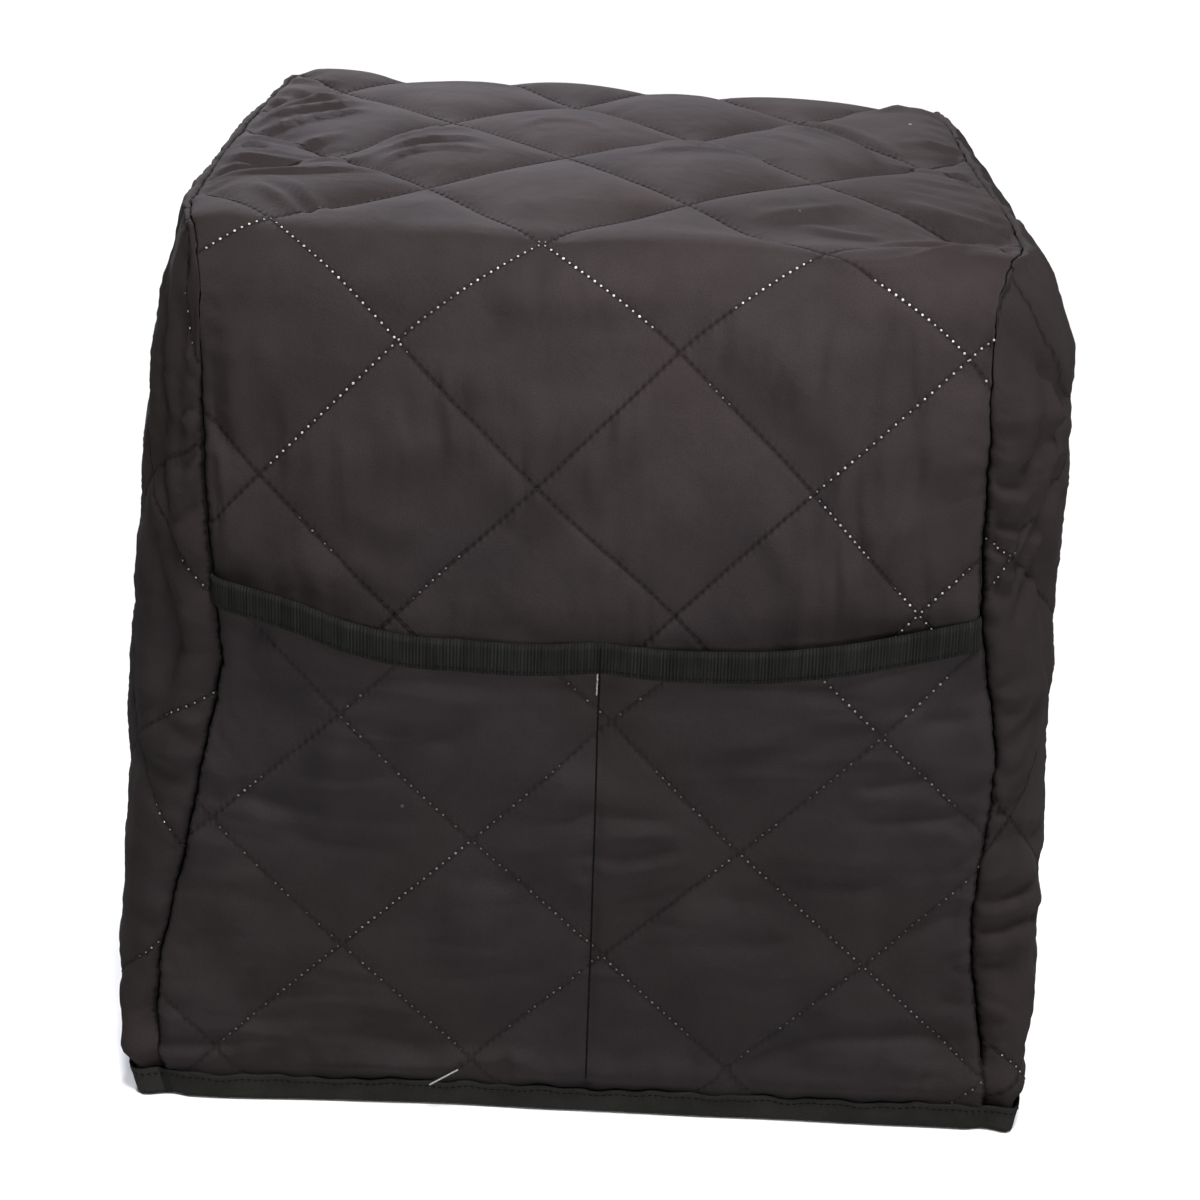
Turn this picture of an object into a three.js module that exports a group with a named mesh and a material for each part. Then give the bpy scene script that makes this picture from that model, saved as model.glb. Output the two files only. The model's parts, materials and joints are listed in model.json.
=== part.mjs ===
// A quilted dust cover for a countertop coffee machine, standing in the shape it takes over the machine.
//
// It is sewn from a long centre strip, which is the front, the top and the back in one piece, and two side
// panels that close it round the corners. A wide pocket lies on the lower front, its mouth bound with ribbed
// ribbon and sewn down in the middle, so that it is two pockets. One tape binds the hem all the way round.
//
// Millimetres. X runs to the right as the front is looked at, Y from the front to the back, Z up. The origin is
// under the middle of the cover, at the height of the hem.

import * as THREE from "three";

const { lerp, clamp, smoothstep } = THREE.MathUtils;

// Side view of the centre strip.
const HEIGHT = 370;
const TOP_DEPTH = 290; // front edge to back edge of the top
const TOP_RISE = 4; // the back edge of the top stands this much higher
const FRONT_LEAN = 19; // how far the front comes forward at the hem
const BACK_LEAN = 9;
const FRONT_EDGE_RADIUS = 26;
const BACK_EDGE_RADIUS = 24;

// Cloth and tapes.
const QUILT = 4; // two layers with wadding between
const POCKET_CLOTH = 3;
const SEAM_GAP = 0.3; // between pieces sewn to each other
const SIDE_GAP = 0.5; // between the centre strip and the side panels, whose facets turn together
const STACK_GAP = 0.5; // between pieces lying on each other
const CLEARANCE = 0.3; // more room where a tape runs across the other pieces' facets
const HEM = { height: 11.5, tape: 1.2, clothFloor: 2.2 };
const RIBBON = { width: 12, tape: 1 };
const POCKET_PUFF = 12; // how far each half of the mouth stands open

// Powers of the rounded outlines: 2 would be an ellipse, and the higher they are, the squarer the corners.
const CROWN_POWER = 2.5;
const MOUTH_POWER = 0.6;
const SIDE_TOP_POWER = 24;
const SIDE_CORNER = { powerAtHem: 60, powerAbove: 5, squareUpTo: 70 };

// The hem's two front corners stand forward of its front: how far, up to what height, and where along each
// side panel, by the share of its way back.
const TOE = { forward: 8, height: 50, at: 0.02, reach: 0.03 };

// Grids. The strip's rows on the front and the back are the side panels' rows, and its rows on the top are
// their columns, so that the seams' facets match.
const ACROSS = 12;
const UP = 12;
const OVER = 14;
const POCKET_ROWS = 6;
const RIBBON_BACK_ROW = 16; // the pocket's last row but one lies this far under its mouth

// Edges of the centre strip: x of the left and the right seam, by the distance along the strip from the
// front hem, up the front, over the top and down the back.
const SEAMS = [
  { along: 0, left: -175, right: 170 },
  { along: 20, left: -179, right: 168 },
  { along: 47, left: -180, right: 164 },
  { along: 77, left: -175, right: 159 },
  { along: 107, left: -168, right: 158 },
  { along: 157, left: -158, right: 161 },
  { along: 185, left: -152, right: 158 },
  { along: 205, left: -151, right: 154 },
  { along: 237, left: -155, right: 150 },
  { along: 297, left: -157, right: 148 },
  { along: 335, left: -157, right: 146 },
  { along: 360, left: -158, right: 148 },
  { along: 388, left: -165, right: 157 },
  { along: 418, left: -168, right: 157.5 },
  { along: 456, left: -169, right: 154.5 },
  { along: 520, left: -168, right: 149 },
  { along: 600, left: -163, right: 145 },
  { along: 645, left: -154, right: 140 },
  { along: 680, left: -150, right: 140 },
  { along: 760, left: -154, right: 145 },
  { along: 880, left: -163, right: 156 },
  { along: 1010, left: -173, right: 167 },
];

// How far the strip's middle stands out of the flat between its seams, by the same distance.
const CROWNS = [
  { along: 0, crown: 0 },
  { along: 90, crown: 6 },
  { along: 200, crown: 8 },
  { along: 310, crown: 6 },
  { along: 375, crown: 1 },
  { along: 450, crown: 3 },
  { along: 560, crown: 1 },
  { along: 650, crown: -2 },
  { along: 760, crown: 5 },
  { along: 900, crown: 6 },
  { along: 1010, crown: 2 },
];

// Folds and dents of the strip, each a smooth lift of the cloth with its middle at a distance along the
// strip and a share across it, and its reach both ways.
const FOLDS = [
  { along: 366, across: 0.86, reachAlong: 13, reachAcross: 0.16, lift: 4 }, // ridge on the front edge
  { along: 398, across: 0.84, reachAlong: 20, reachAcross: 0.2, lift: -5 }, // hollow behind the ridge
  { along: 372, across: 0.2, reachAlong: 14, reachAcross: 0.1, lift: -3 }, // dent in the front edge
  { along: 395, across: 0.04, reachAlong: 26, reachAcross: 0.08, lift: 3 }, // puffed front left corner
  { along: 545, across: 0.62, reachAlong: 34, reachAcross: 0.14, lift: -3 }, // sag in the top
  { along: 638, across: 0.02, reachAlong: 34, reachAcross: 0.12, lift: 3 }, // puffed back left corner
  { along: 645, across: 0.38, reachAlong: 28, reachAcross: 0.16, lift: 4 }, // swell on the back edge
  { along: 650, across: 1, reachAlong: 46, reachAcross: 0.2, lift: -5 }, // sunk back right corner
  { along: 0, across: 0.05, reachAlong: 50, reachAcross: 0.16, lift: 3 }, // hem kicked out at the left
  { along: 250, across: 0.33, reachAlong: 60, reachAcross: 0.07, lift: -2.5 }, // slack in the front
  { along: 270, across: 0.72, reachAlong: 50, reachAcross: 0.08, lift: -2 }, // slack in the front
];

// How far each side panel stands out beyond its seams, by height.
const SIDES = [
  { height: 0, left: 14, right: 11 },
  { height: 30, left: 18, right: 20 },
  { height: 60, left: 24.5, right: 30 },
  { height: 102, left: 31, right: 33.5 },
  { height: 157, left: 38.5, right: 24.5 },
  { height: 202, left: 40.5, right: 29.5 },
  { height: 247, left: 32, right: 30.5 },
  { height: 302, left: 22.5, right: 31.5 },
  { height: 342, left: 14, right: 25 },
  { height: 370, left: 8.5, right: 7 },
];

// Upper edge of the pocket's ribbon: its height along the front, by the share across from left to right.
const MOUTH = [
  { across: 0, along: 231 },
  { across: 0.11, along: 226 },
  { across: 0.19, along: 219 },
  { across: 0.32, along: 214.5 },
  { across: 0.5, along: 213.5 },
  { across: 0.66, along: 214.5 },
  { across: 0.79, along: 218 },
  { across: 0.9, along: 223 },
  { across: 1, along: 227 },
];

// The value of one column at a place in another, along a smooth curve through the table's rows.
function lookUp(table, key, column, at) {
  const last = table.length - 1;
  const x = clamp(at, table[0][key], table[last][key]);
  let i = 0;
  while (i < last - 1 && x > table[i + 1][key]) i += 1;
  const slopeAt = (k) => {
    const a = table[Math.max(k - 1, 0)];
    const b = table[Math.min(k + 1, last)];
    return (b[column] - a[column]) / (b[key] - a[key]);
  };
  const low = table[i];
  const high = table[i + 1];
  const width = high[key] - low[key];
  const t = (x - low[key]) / width;
  const fromLow = low[column] + slopeAt(i) * width * t;
  const fromHigh = high[column] - slopeAt(i + 1) * width * (1 - t);
  return lerp(fromLow, fromHigh, t * t * (3 - 2 * t));
}

// ---------------------------------------------------------------- the strip's side view

// Direction of the outward normal where a straight wall up from the hem runs onto a round edge.
function wallNormalAngle(hem, centre, radius, side) {
  const toCentre = new THREE.Vector2().subVectors(centre, hem);
  const wall = toCentre.angle() - side * Math.asin(radius / toCentre.length());
  return wall - (side * Math.PI) / 2;
}

function sideView() {
  const frontHem = new THREE.Vector2(-FRONT_LEAN, HEM.clothFloor);
  const backHem = new THREE.Vector2(TOP_DEPTH + BACK_LEAN, HEM.clothFloor);
  const front = new THREE.Vector2(FRONT_EDGE_RADIUS, HEIGHT - FRONT_EDGE_RADIUS);
  const back = new THREE.Vector2(TOP_DEPTH - BACK_EDGE_RADIUS, HEIGHT + TOP_RISE - BACK_EDGE_RADIUS);
  const frontAngle = wallNormalAngle(frontHem, front, FRONT_EDGE_RADIUS, -1);
  const backAngle = wallNormalAngle(backHem, back, BACK_EDGE_RADIUS, 1);
  const onEdge = (centre, radius, angle) =>
    new THREE.Vector2(Math.cos(angle), Math.sin(angle)).multiplyScalar(radius).add(centre);
  const frontEnd = onEdge(front, FRONT_EDGE_RADIUS, frontAngle);
  const backStart = onEdge(back, BACK_EDGE_RADIUS, Math.PI / 2);
  const path = new THREE.Path();
  path.moveTo(frontHem.x, frontHem.y);
  path.lineTo(frontEnd.x, frontEnd.y);
  path.absarc(front.x, front.y, FRONT_EDGE_RADIUS, frontAngle, Math.PI / 2, true);
  path.lineTo(backStart.x, backStart.y);
  path.absarc(back.x, back.y, BACK_EDGE_RADIUS, Math.PI / 2, backAngle, true);
  path.lineTo(backHem.x, backHem.y);
  const [wall, edge, top, backEdge] = path.curves.map((curve) => curve.getLength());
  return { path, frontCorner: wall + edge / 2, backCorner: wall + edge + top + backEdge / 2 };
}

const side = sideView();
const STRIP_LENGTH = side.path.getLength();

// A point of the strip: along it from the front hem, across from the left seam (0) to the right one (1), and
// so deep under its outer face. A depth under 0 is in front of the cloth.
function stripPoint(along, across, depth) {
  const share = clamp(along / STRIP_LENGTH, 0, 1);
  const place = side.path.getPointAt(share);
  const tangent = side.path.getTangentAt(share);
  const fromMiddle = Math.abs(2 * across - 1);
  const crown = lookUp(CROWNS, "along", "crown", along) * (1 - fromMiddle ** CROWN_POWER);
  const folds = FOLDS.reduce((sum, fold) => {
    const up = (along - fold.along) / fold.reachAlong;
    const aside = (across - fold.across) / fold.reachAcross;
    return sum + fold.lift * Math.exp(-(up ** 2) - aside ** 2);
  }, 0);
  const out = crown + folds - depth;
  const left = lookUp(SEAMS, "along", "left", along);
  const right = lookUp(SEAMS, "along", "right", along);
  return new THREE.Vector3(lerp(left, right, across), place.x - tangent.y * out, place.y + tangent.x * out);
}

// How far up a wall its row i is, as a share. Row 1 is just over the hem tape, and the rows come closer
// together towards the top.
function upShare(i) {
  const hem = (HEM.height + SEAM_GAP) / side.frontCorner;
  return i === 0 ? 0 : lerp(hem, 1, Math.sin((Math.PI / 2) * ((i - 1) / (UP - 1))));
}

// How far back over the top its row j is, as a share. The rows are closer together at both ends.
function overShare(j) {
  return (1 - Math.cos(Math.PI * (j / OVER))) / 2;
}

// Distances along the strip of its rows: UP on the front, OVER on the top and UP on the back.
function stripRows() {
  const front = Array.from({ length: UP }, (_, i) => side.frontCorner * upShare(i));
  const top = Array.from({ length: OVER + 1 }, (_, j) => {
    return lerp(side.frontCorner, side.backCorner, overShare(j));
  });
  const backLength = STRIP_LENGTH - side.backCorner;
  const back = Array.from({ length: UP }, (_, i) => STRIP_LENGTH - backLength * upShare(i)).reverse();
  return [...front, ...top, ...back];
}

const ROWS = stripRows();

// ---------------------------------------------------------------- solids from grids of points

function solid(points, triangles) {
  const volume = triangles.reduce((sum, [a, b, c]) => {
    return sum + points[a].dot(new THREE.Vector3().crossVectors(points[b], points[c])) / 6;
  }, 0);
  const faces = volume < 0 ? triangles.map(([a, b, c]) => [a, c, b]) : triangles;
  const geometry = new THREE.BufferGeometry().setFromPoints(points).setIndex(faces.flat());
  geometry.computeVertexNormals();
  return geometry;
}

// A closed sheet between two grids of points of the same size, grid[row][column], joined round the rim.
function sheetSolid(outer, inner) {
  const rows = outer.length;
  const columns = outer[0].length;
  const points = [...outer.flat(), ...inner.flat()];
  const size = rows * columns;
  const triangles = [];
  const quad = (a, b, c, d) => triangles.push([a, b, c], [a, c, d]);
  const id = (row, column) => row * columns + column;
  for (let r = 0; r + 1 < rows; r += 1) {
    for (let c = 0; c + 1 < columns; c += 1) {
      const corners = [id(r, c), id(r, c + 1), id(r + 1, c + 1), id(r + 1, c)];
      quad(...corners);
      quad(...corners.reverse().map((k) => k + size));
    }
  }
  const rim = [];
  for (let c = 0; c + 1 < columns; c += 1) rim.push(id(0, c));
  for (let r = 0; r + 1 < rows; r += 1) rim.push(id(r, columns - 1));
  for (let c = columns - 1; c > 0; c -= 1) rim.push(id(rows - 1, c));
  for (let r = rows - 1; r > 0; r -= 1) rim.push(id(r, 0));
  rim.forEach((a, k) => {
    const b = rim[(k + 1) % rim.length];
    quad(a, a + size, b + size, b);
  });
  return solid(points, triangles);
}

// A tape whose section, a closed ring of points, is given at each station along it. A loop joins up with its
// own start, and an open tape is closed by its end sections.
function tapeSolid(sections, loop) {
  const corners = sections[0].length;
  const triangles = [];
  const spans = loop ? sections.length : sections.length - 1;
  for (let k = 0; k < spans; k += 1) {
    const here = k * corners;
    const next = ((k + 1) % sections.length) * corners;
    for (let i = 0; i < corners; i += 1) {
      const j = (i + 1) % corners;
      triangles.push([here + i, next + i, next + j], [here + i, next + j, here + j]);
    }
  }
  if (!loop) {
    // The section is a U of four quads' width: legs 0-1-6-7 and 2-3-4-5 and the fold 1-2-5-6.
    const cap = [[0, 1, 6], [0, 6, 7], [1, 2, 5], [1, 5, 6], [2, 3, 4], [2, 4, 5]];
    const last = (sections.length - 1) * corners;
    cap.forEach(([a, b, c]) => {
      triangles.push([a, b, c], [last + a, last + c, last + b]);
    });
  }
  return solid(sections.flat(), triangles);
}

// ---------------------------------------------------------------- the pieces

function centreStrip() {
  const grid = (depth) => {
    return ROWS.map((along) => {
      return Array.from({ length: ACROSS + 1 }, (_, c) => stripPoint(along, c / ACROSS, depth));
    });
  };
  return { outer: grid(0), inner: grid(QUILT) };
}

// A side panel: a patch between the strip's front, top and back edges and the hem, which swells out of the
// seams like a pillow. sideName is "left" or "right".
function sidePanel(sideName, depth) {
  const across = sideName === "left" ? 0 : 1;
  const outwards = sideName === "left" ? -1 : 1;
  const edge = ROWS.map((along) => {
    return stripPoint(along, across, depth).add(new THREE.Vector3(outwards * SIDE_GAP, 0, 0));
  });
  const top = edge.slice(UP, UP + OVER + 1);
  const fore = edge.slice(0, UP + 1);
  const aft = edge.slice(UP + OVER).reverse();
  return fore.map((front, i) => {
    const up = upShare(i);
    return top.map((over, j) => {
      const back = overShare(j);
      const level = new THREE.Vector3().lerpVectors(front, aft[i], back);
      const lintel = new THREE.Vector3().lerpVectors(fore[UP], aft[UP], back);
      const point = level.add(over.clone().sub(lintel).multiplyScalar(up));
      const swell = lookUp(SIDES, "height", sideName, point.z) - depth;
      const fromHem = smoothstep(point.z, 0, SIDE_CORNER.squareUpTo);
      const power = lerp(SIDE_CORNER.powerAtHem, SIDE_CORNER.powerAbove, fromHem);
      const roundCorner = Math.sqrt(1 - Math.abs(2 * back - 1) ** power);
      const roundTop = Math.sqrt(1 - up ** SIDE_TOP_POWER);
      const toe = Math.exp(-(((back - TOE.at) / TOE.reach) ** 2)) * smoothstep(back, 0, TOE.at / 2);
      point.y -= TOE.forward * toe * (1 - smoothstep(point.z, 0, TOE.height));
      point.x += outwards * swell * roundCorner * roundTop;
      return point;
    });
  });
}

// How far the pocket's inner face stands off the strip, open being 0 at the hem and 1 at the mouth: nothing
// at its seams, most in the middle of each half of the mouth.
function pocketStandOff(across, open) {
  const fromSeam = Math.abs(Math.sin(2 * Math.PI * across)) ** MOUTH_POWER;
  const ribbonRoom = RIBBON.tape + 2 * SEAM_GAP + CLEARANCE;
  return lerp(STACK_GAP, ribbonRoom, open) + POCKET_PUFF * fromSeam * open;
}

// Row 1 of the pocket is just over the hem tape, and its last two rows are behind the ribbon's legs.
function pocketPanel() {
  const grid = (depth) => {
    return Array.from({ length: POCKET_ROWS + 1 }, (_, row) => {
      return Array.from({ length: 2 * ACROSS + 1 }, (_, c) => {
        const across = c / (2 * ACROSS);
        const mouth = lookUp(MOUTH, "across", "along", across) - RIBBON.tape - SEAM_GAP;
        const share = clamp((row - 1) / (POCKET_ROWS - 2), 0, 1);
        const between = lerp(HEM.height, mouth - RIBBON_BACK_ROW, share);
        const along = row === 0 ? 0 : row === POCKET_ROWS ? mouth : between;
        const standOff = pocketStandOff(across, smoothstep(share, 0, 1)) + depth;
        return stripPoint(along, across, -standOff);
      });
    });
  };
  return sheetSolid(grid(POCKET_CLOTH), grid(0));
}

// The ribbon is folded over the pocket's mouth: one leg behind the cloth, the fold, one leg in front.
function pocketRibbon() {
  const sections = [];
  for (let c = 0; c <= 2 * ACROSS; c += 1) {
    const across = c / (2 * ACROSS);
    const top = lookUp(MOUTH, "across", "along", across);
    const cloth = pocketStandOff(across, 1);
    const behind = cloth - SEAM_GAP;
    const before = cloth + POCKET_CLOTH + SEAM_GAP;
    const { width, tape } = RIBBON;
    const outline = [
      [top - width, behind - tape],
      [top, behind - tape],
      [top, before + tape],
      [top - width, before + tape],
      [top - width, before],
      [top - tape, before],
      [top - tape, behind],
      [top - width, behind],
    ];
    sections.push(outline.map(([along, off]) => stripPoint(along, across, -off)));
  }
  return tapeSolid(sections, false);
}

// The lowest stretch of every wall, as pairs of points of its outer and its inner face, anticlockwise from
// the front left corner seen from above. stack is what else the tape has to take in there.
function hemColumns(strip, left, right) {
  const columns = [];
  const add = (outer, inner, low, high, c, stack) => {
    columns.push({ outer: [outer[low][c], outer[high][c]], inner: [inner[low][c], inner[high][c]], stack });
  };
  const last = ROWS.length - 1;
  const pocket = STACK_GAP + POCKET_CLOTH;
  for (let c = 0; c <= ACROSS; c += 1) add(strip.outer, strip.inner, 0, 1, c, pocket);
  for (let j = 1; j < OVER; j += 1) add(right.outer, right.inner, 0, 1, j, 0);
  for (let c = ACROSS; c >= 0; c -= 1) add(strip.outer, strip.inner, last, last - 1, c, 0);
  for (let j = OVER - 1; j > 0; j -= 1) add(left.outer, left.inner, 0, 1, j, 0);
  return columns;
}

// The way out of a closed outline at one of its points, as long as a mitre that puts both its edges 1 mm out.
function mitre(before, here, after) {
  const outOf = (from, to) => {
    const run = new THREE.Vector3().subVectors(to, from).setZ(0).normalize();
    return new THREE.Vector3(run.y, -run.x, 0);
  };
  const [first, second] = [outOf(before, here), outOf(here, after)];
  return first.clone().add(second).divideScalar(1 + first.dot(second));
}

// The hem tape is folded up round the cut edges of all the walls, and its fold is the flat foot at height 0.
function hemTape(columns) {
  const atHeight = ([low, high], z) => {
    return new THREE.Vector3().lerpVectors(low, high, (z - low.z) / (high.z - low.z));
  };
  const sections = columns.map(({ outer, inner, stack }, k) => {
    const before = columns[(k + columns.length - 1) % columns.length].outer[0];
    const after = columns[(k + 1) % columns.length].outer[0];
    const out = mitre(before, outer[0], after);
    const { height, tape } = HEM;
    const outside = (off, z) => atHeight(outer, z).addScaledVector(out, stack + off);
    const inside = (off, z) => atHeight(inner, z).addScaledVector(out, -off);
    const near = SEAM_GAP + CLEARANCE;
    const far = near + tape;
    return [
      outside(far, height),
      outside(far, 0),
      inside(far, 0),
      inside(far, height),
      inside(near, height),
      inside(near, tape),
      outside(near, tape),
      outside(near, height),
    ];
  });
  return tapeSolid(sections, true);
}

// ---------------------------------------------------------------- the assembly

const quiltedCloth = new THREE.MeshStandardMaterial({ color: 0x3d3636, roughness: 0.75, metalness: 0 });
const pocketCloth = new THREE.MeshStandardMaterial({ color: 0x383233, roughness: 0.75, metalness: 0 });
const tapeCloth = new THREE.MeshStandardMaterial({ color: 0x2a2b27, roughness: 0.9, metalness: 0 });

const strip = centreStrip();
const left = { outer: sidePanel("left", 0), inner: sidePanel("left", QUILT) };
const right = { outer: sidePanel("right", 0), inner: sidePanel("right", QUILT) };

const pieces = [
  ["centre_strip", sheetSolid(strip.outer, strip.inner), quiltedCloth],
  ["side_panel_left", sheetSolid(left.outer, left.inner), quiltedCloth],
  ["side_panel_right", sheetSolid(right.outer, right.inner), quiltedCloth],
  ["front_pocket", pocketPanel(), pocketCloth],
  ["pocket_ribbon", pocketRibbon(), tapeCloth],
  ["hem_tape", hemTape(hemColumns(strip, left, right)), tapeCloth],
];

const cover = new THREE.Group();
pieces.forEach(([name, geometry, material]) => {
  const mesh = new THREE.Mesh(geometry, material);
  mesh.name = name;
  cover.add(mesh);
});

// The pieces are worked out from the front edge of the top, and then moved to the middle of the foot.
const extent = new THREE.Box3().setFromObject(cover);
const middle = extent.getCenter(new THREE.Vector3());
cover.position.set(-middle.x, -middle.y, -extent.min.z);

export default cover;
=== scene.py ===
"""The looks of a quilted cloth cover for a coffee machine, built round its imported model.

Cloth is worked out in millimetres in the cover's own coordinates: x to the right from the middle of the
strip, y back from the front edge of the top, z up from the foot of the hem. It goes into the meshes in
metres and in the frame's coordinates.
"""

import json
import math

import bpy
import numpy as np
from mathutils import Matrix, Vector


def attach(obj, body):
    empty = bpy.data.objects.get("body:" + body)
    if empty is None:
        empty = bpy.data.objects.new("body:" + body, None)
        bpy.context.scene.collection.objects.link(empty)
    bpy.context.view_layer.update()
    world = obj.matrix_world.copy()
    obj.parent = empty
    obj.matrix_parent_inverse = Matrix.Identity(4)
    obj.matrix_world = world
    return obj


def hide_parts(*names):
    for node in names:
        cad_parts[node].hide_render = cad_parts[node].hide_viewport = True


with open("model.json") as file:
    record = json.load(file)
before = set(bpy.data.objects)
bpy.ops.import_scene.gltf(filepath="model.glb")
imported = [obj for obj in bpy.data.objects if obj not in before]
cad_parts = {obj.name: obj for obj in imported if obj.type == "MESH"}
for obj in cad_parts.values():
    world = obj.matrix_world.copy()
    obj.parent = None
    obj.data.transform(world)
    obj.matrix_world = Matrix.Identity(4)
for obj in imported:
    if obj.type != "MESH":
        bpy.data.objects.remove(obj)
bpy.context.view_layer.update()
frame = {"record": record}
MM = 0.001

# Where the cover's own origin is in the frame, in millimetres.
ORIGIN = np.array([4.92, -135.28, 0.0])

# ---------------------------------------------------------------- sizes of the cover

HEIGHT = 370.0
TOP_DEPTH = 290.0
TOP_RISE = 4.0
FRONT_LEAN = 19.0
BACK_LEAN = 9.0
FRONT_RADIUS = 26.0
BACK_RADIUS = 24.0
CLOTH_FLOOR = 2.2
# The quilt's thickness at the sewn lines and between them, and the pocket's.
STITCHED, QUILT = 1.4, 4.0
POCKET_STITCHED, POCKET_CLOTH = 1.2, 3.0
RIBBON_WIDTH = 12.0
POCKET_PUFF = 12.0
HEM_HEIGHT = 11.5


def table(columns, rows):
    """A table as one array for each named column."""
    return dict(zip(columns.split(), np.array(rows, float).T))


# Edges of the centre strip, by the distance along it from the front hem, over the top, to the back hem.
SEAMS = table("along left right", [
    (0, -175, 170), (20, -179, 168), (47, -180, 164), (77, -175, 159), (107, -168, 158),
    (157, -158, 161), (185, -152, 158), (205, -151, 154), (237, -155, 150), (297, -157, 148),
    (335, -157, 146), (360, -158, 148), (388, -165, 157), (418, -168, 157.5), (456, -169, 154.5),
    (520, -168, 149), (600, -163, 145), (645, -154, 140), (680, -150, 140), (760, -154, 145),
    (880, -163, 156), (1010, -173, 167),
])

# How far the strip's middle stands out between its seams, and the power of its arch from seam to seam.
CROWN_POWER = 2.5
CROWNS = table("along crown", [
    (0, 0), (90, 6), (200, 8), (310, 6), (375, 1), (450, 3), (560, 1), (650, -2),
    (760, 5), (900, 6), (1010, 2),
])

# Broad folds and dents of the strip.
FOLDS = table("along across reach_along reach_across lift", [
    (366, 0.86, 13, 0.16, 4), (398, 0.84, 20, 0.2, -5), (372, 0.2, 14, 0.1, -3),
    (395, 0.04, 26, 0.08, 3), (545, 0.62, 34, 0.14, -3), (638, 0.02, 34, 0.12, 3),
    (645, 0.38, 28, 0.16, 4), (650, 1, 46, 0.2, -5), (0, 0.05, 50, 0.16, 3),
    (250, 0.33, 60, 0.07, -2.5), (270, 0.72, 50, 0.08, -2),
])

# How far each side panel stands out beyond its seams, by height.
SIDES = table("height left right", [
    (0, 14, 11), (30, 18, 20), (60, 24.5, 30), (102, 31, 33.5),
    (157, 38.5, 24.5), (202, 40.5, 29.5), (247, 32, 30.5), (302, 22.5, 31.5),
    (342, 14, 25), (370, 8.5, 7),
])

# Height of the pocket ribbon's upper edge along the front.
MOUTH = table("across along", [
    (0, 231), (0.11, 226), (0.19, 219), (0.32, 214.5), (0.5, 213.5), (0.66, 214.5),
    (0.79, 218), (0.9, 223), (1, 227),
])


def read(tab, key, column, at):
    """A column of a table at any place in another column: a cubic between each two rows, whose slope at a
    row is the slope from the row before it to the row after it."""
    k, v = tab[key], tab[column]
    last = len(k) - 1
    x = np.clip(at, k[0], k[-1])
    i = np.clip(np.searchsorted(k, x, side="left") - 1, 0, last - 1)
    before, after = np.maximum(np.arange(last + 1) - 1, 0), np.minimum(np.arange(last + 1) + 1, last)
    slope = (v[after] - v[before]) / (k[after] - k[before])
    width = k[i + 1] - k[i]
    t = (x - k[i]) / width
    low = v[i] + slope[i] * width * t
    high = v[i + 1] - slope[i + 1] * width * (1 - t)
    return low + (high - low) * t * t * (3 - 2 * t)


def edges(along):
    """Where the strip's two edges are across, at distances along it."""
    return read(SEAMS, "along", "left", along), read(SEAMS, "along", "right", along)


# ---------------------------------------------------------------- the strip's side view


def wall_angle(hem, centre, radius, turn):
    """Direction of the outward normal of a straight wall that runs from the hem onto a round edge."""
    to = centre - hem
    return math.atan2(to[1], to[0]) - turn * math.asin(radius / math.hypot(*to)) - turn * math.pi / 2


FRONT_HEM = np.array([-FRONT_LEAN, CLOTH_FLOOR])
BACK_HEM = np.array([TOP_DEPTH + BACK_LEAN, CLOTH_FLOOR])
FRONT_CENTRE = np.array([FRONT_RADIUS, HEIGHT - FRONT_RADIUS])
BACK_CENTRE = np.array([TOP_DEPTH - BACK_RADIUS, HEIGHT + TOP_RISE - BACK_RADIUS])
FRONT_ANGLE = wall_angle(FRONT_HEM, FRONT_CENTRE, FRONT_RADIUS, -1)
BACK_ANGLE = wall_angle(BACK_HEM, BACK_CENTRE, BACK_RADIUS, 1)
UPRIGHT = math.pi / 2


def around(angle):
    """Unit vector (y, z) at an angle."""
    return np.stack([np.cos(angle), np.sin(angle)], -1)


FRONT_END = FRONT_CENTRE + FRONT_RADIUS * around(FRONT_ANGLE)
TOP_START = FRONT_CENTRE + FRONT_RADIUS * around(UPRIGHT)
TOP_END = BACK_CENTRE + BACK_RADIUS * around(UPRIGHT)
BACK_START = BACK_CENTRE + BACK_RADIUS * around(BACK_ANGLE)
SPANS = [
    np.linalg.norm(FRONT_END - FRONT_HEM),
    FRONT_RADIUS * (FRONT_ANGLE - UPRIGHT),
    np.linalg.norm(TOP_END - TOP_START),
    BACK_RADIUS * (UPRIGHT - BACK_ANGLE),
    np.linalg.norm(BACK_HEM - BACK_START),
]
ENDS = np.cumsum(SPANS)
LENGTH = ENDS[-1]
FRONT_CORNER = SPANS[0] + SPANS[1] / 2
BACK_CORNER = ENDS[2] + SPANS[3] / 2


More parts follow.
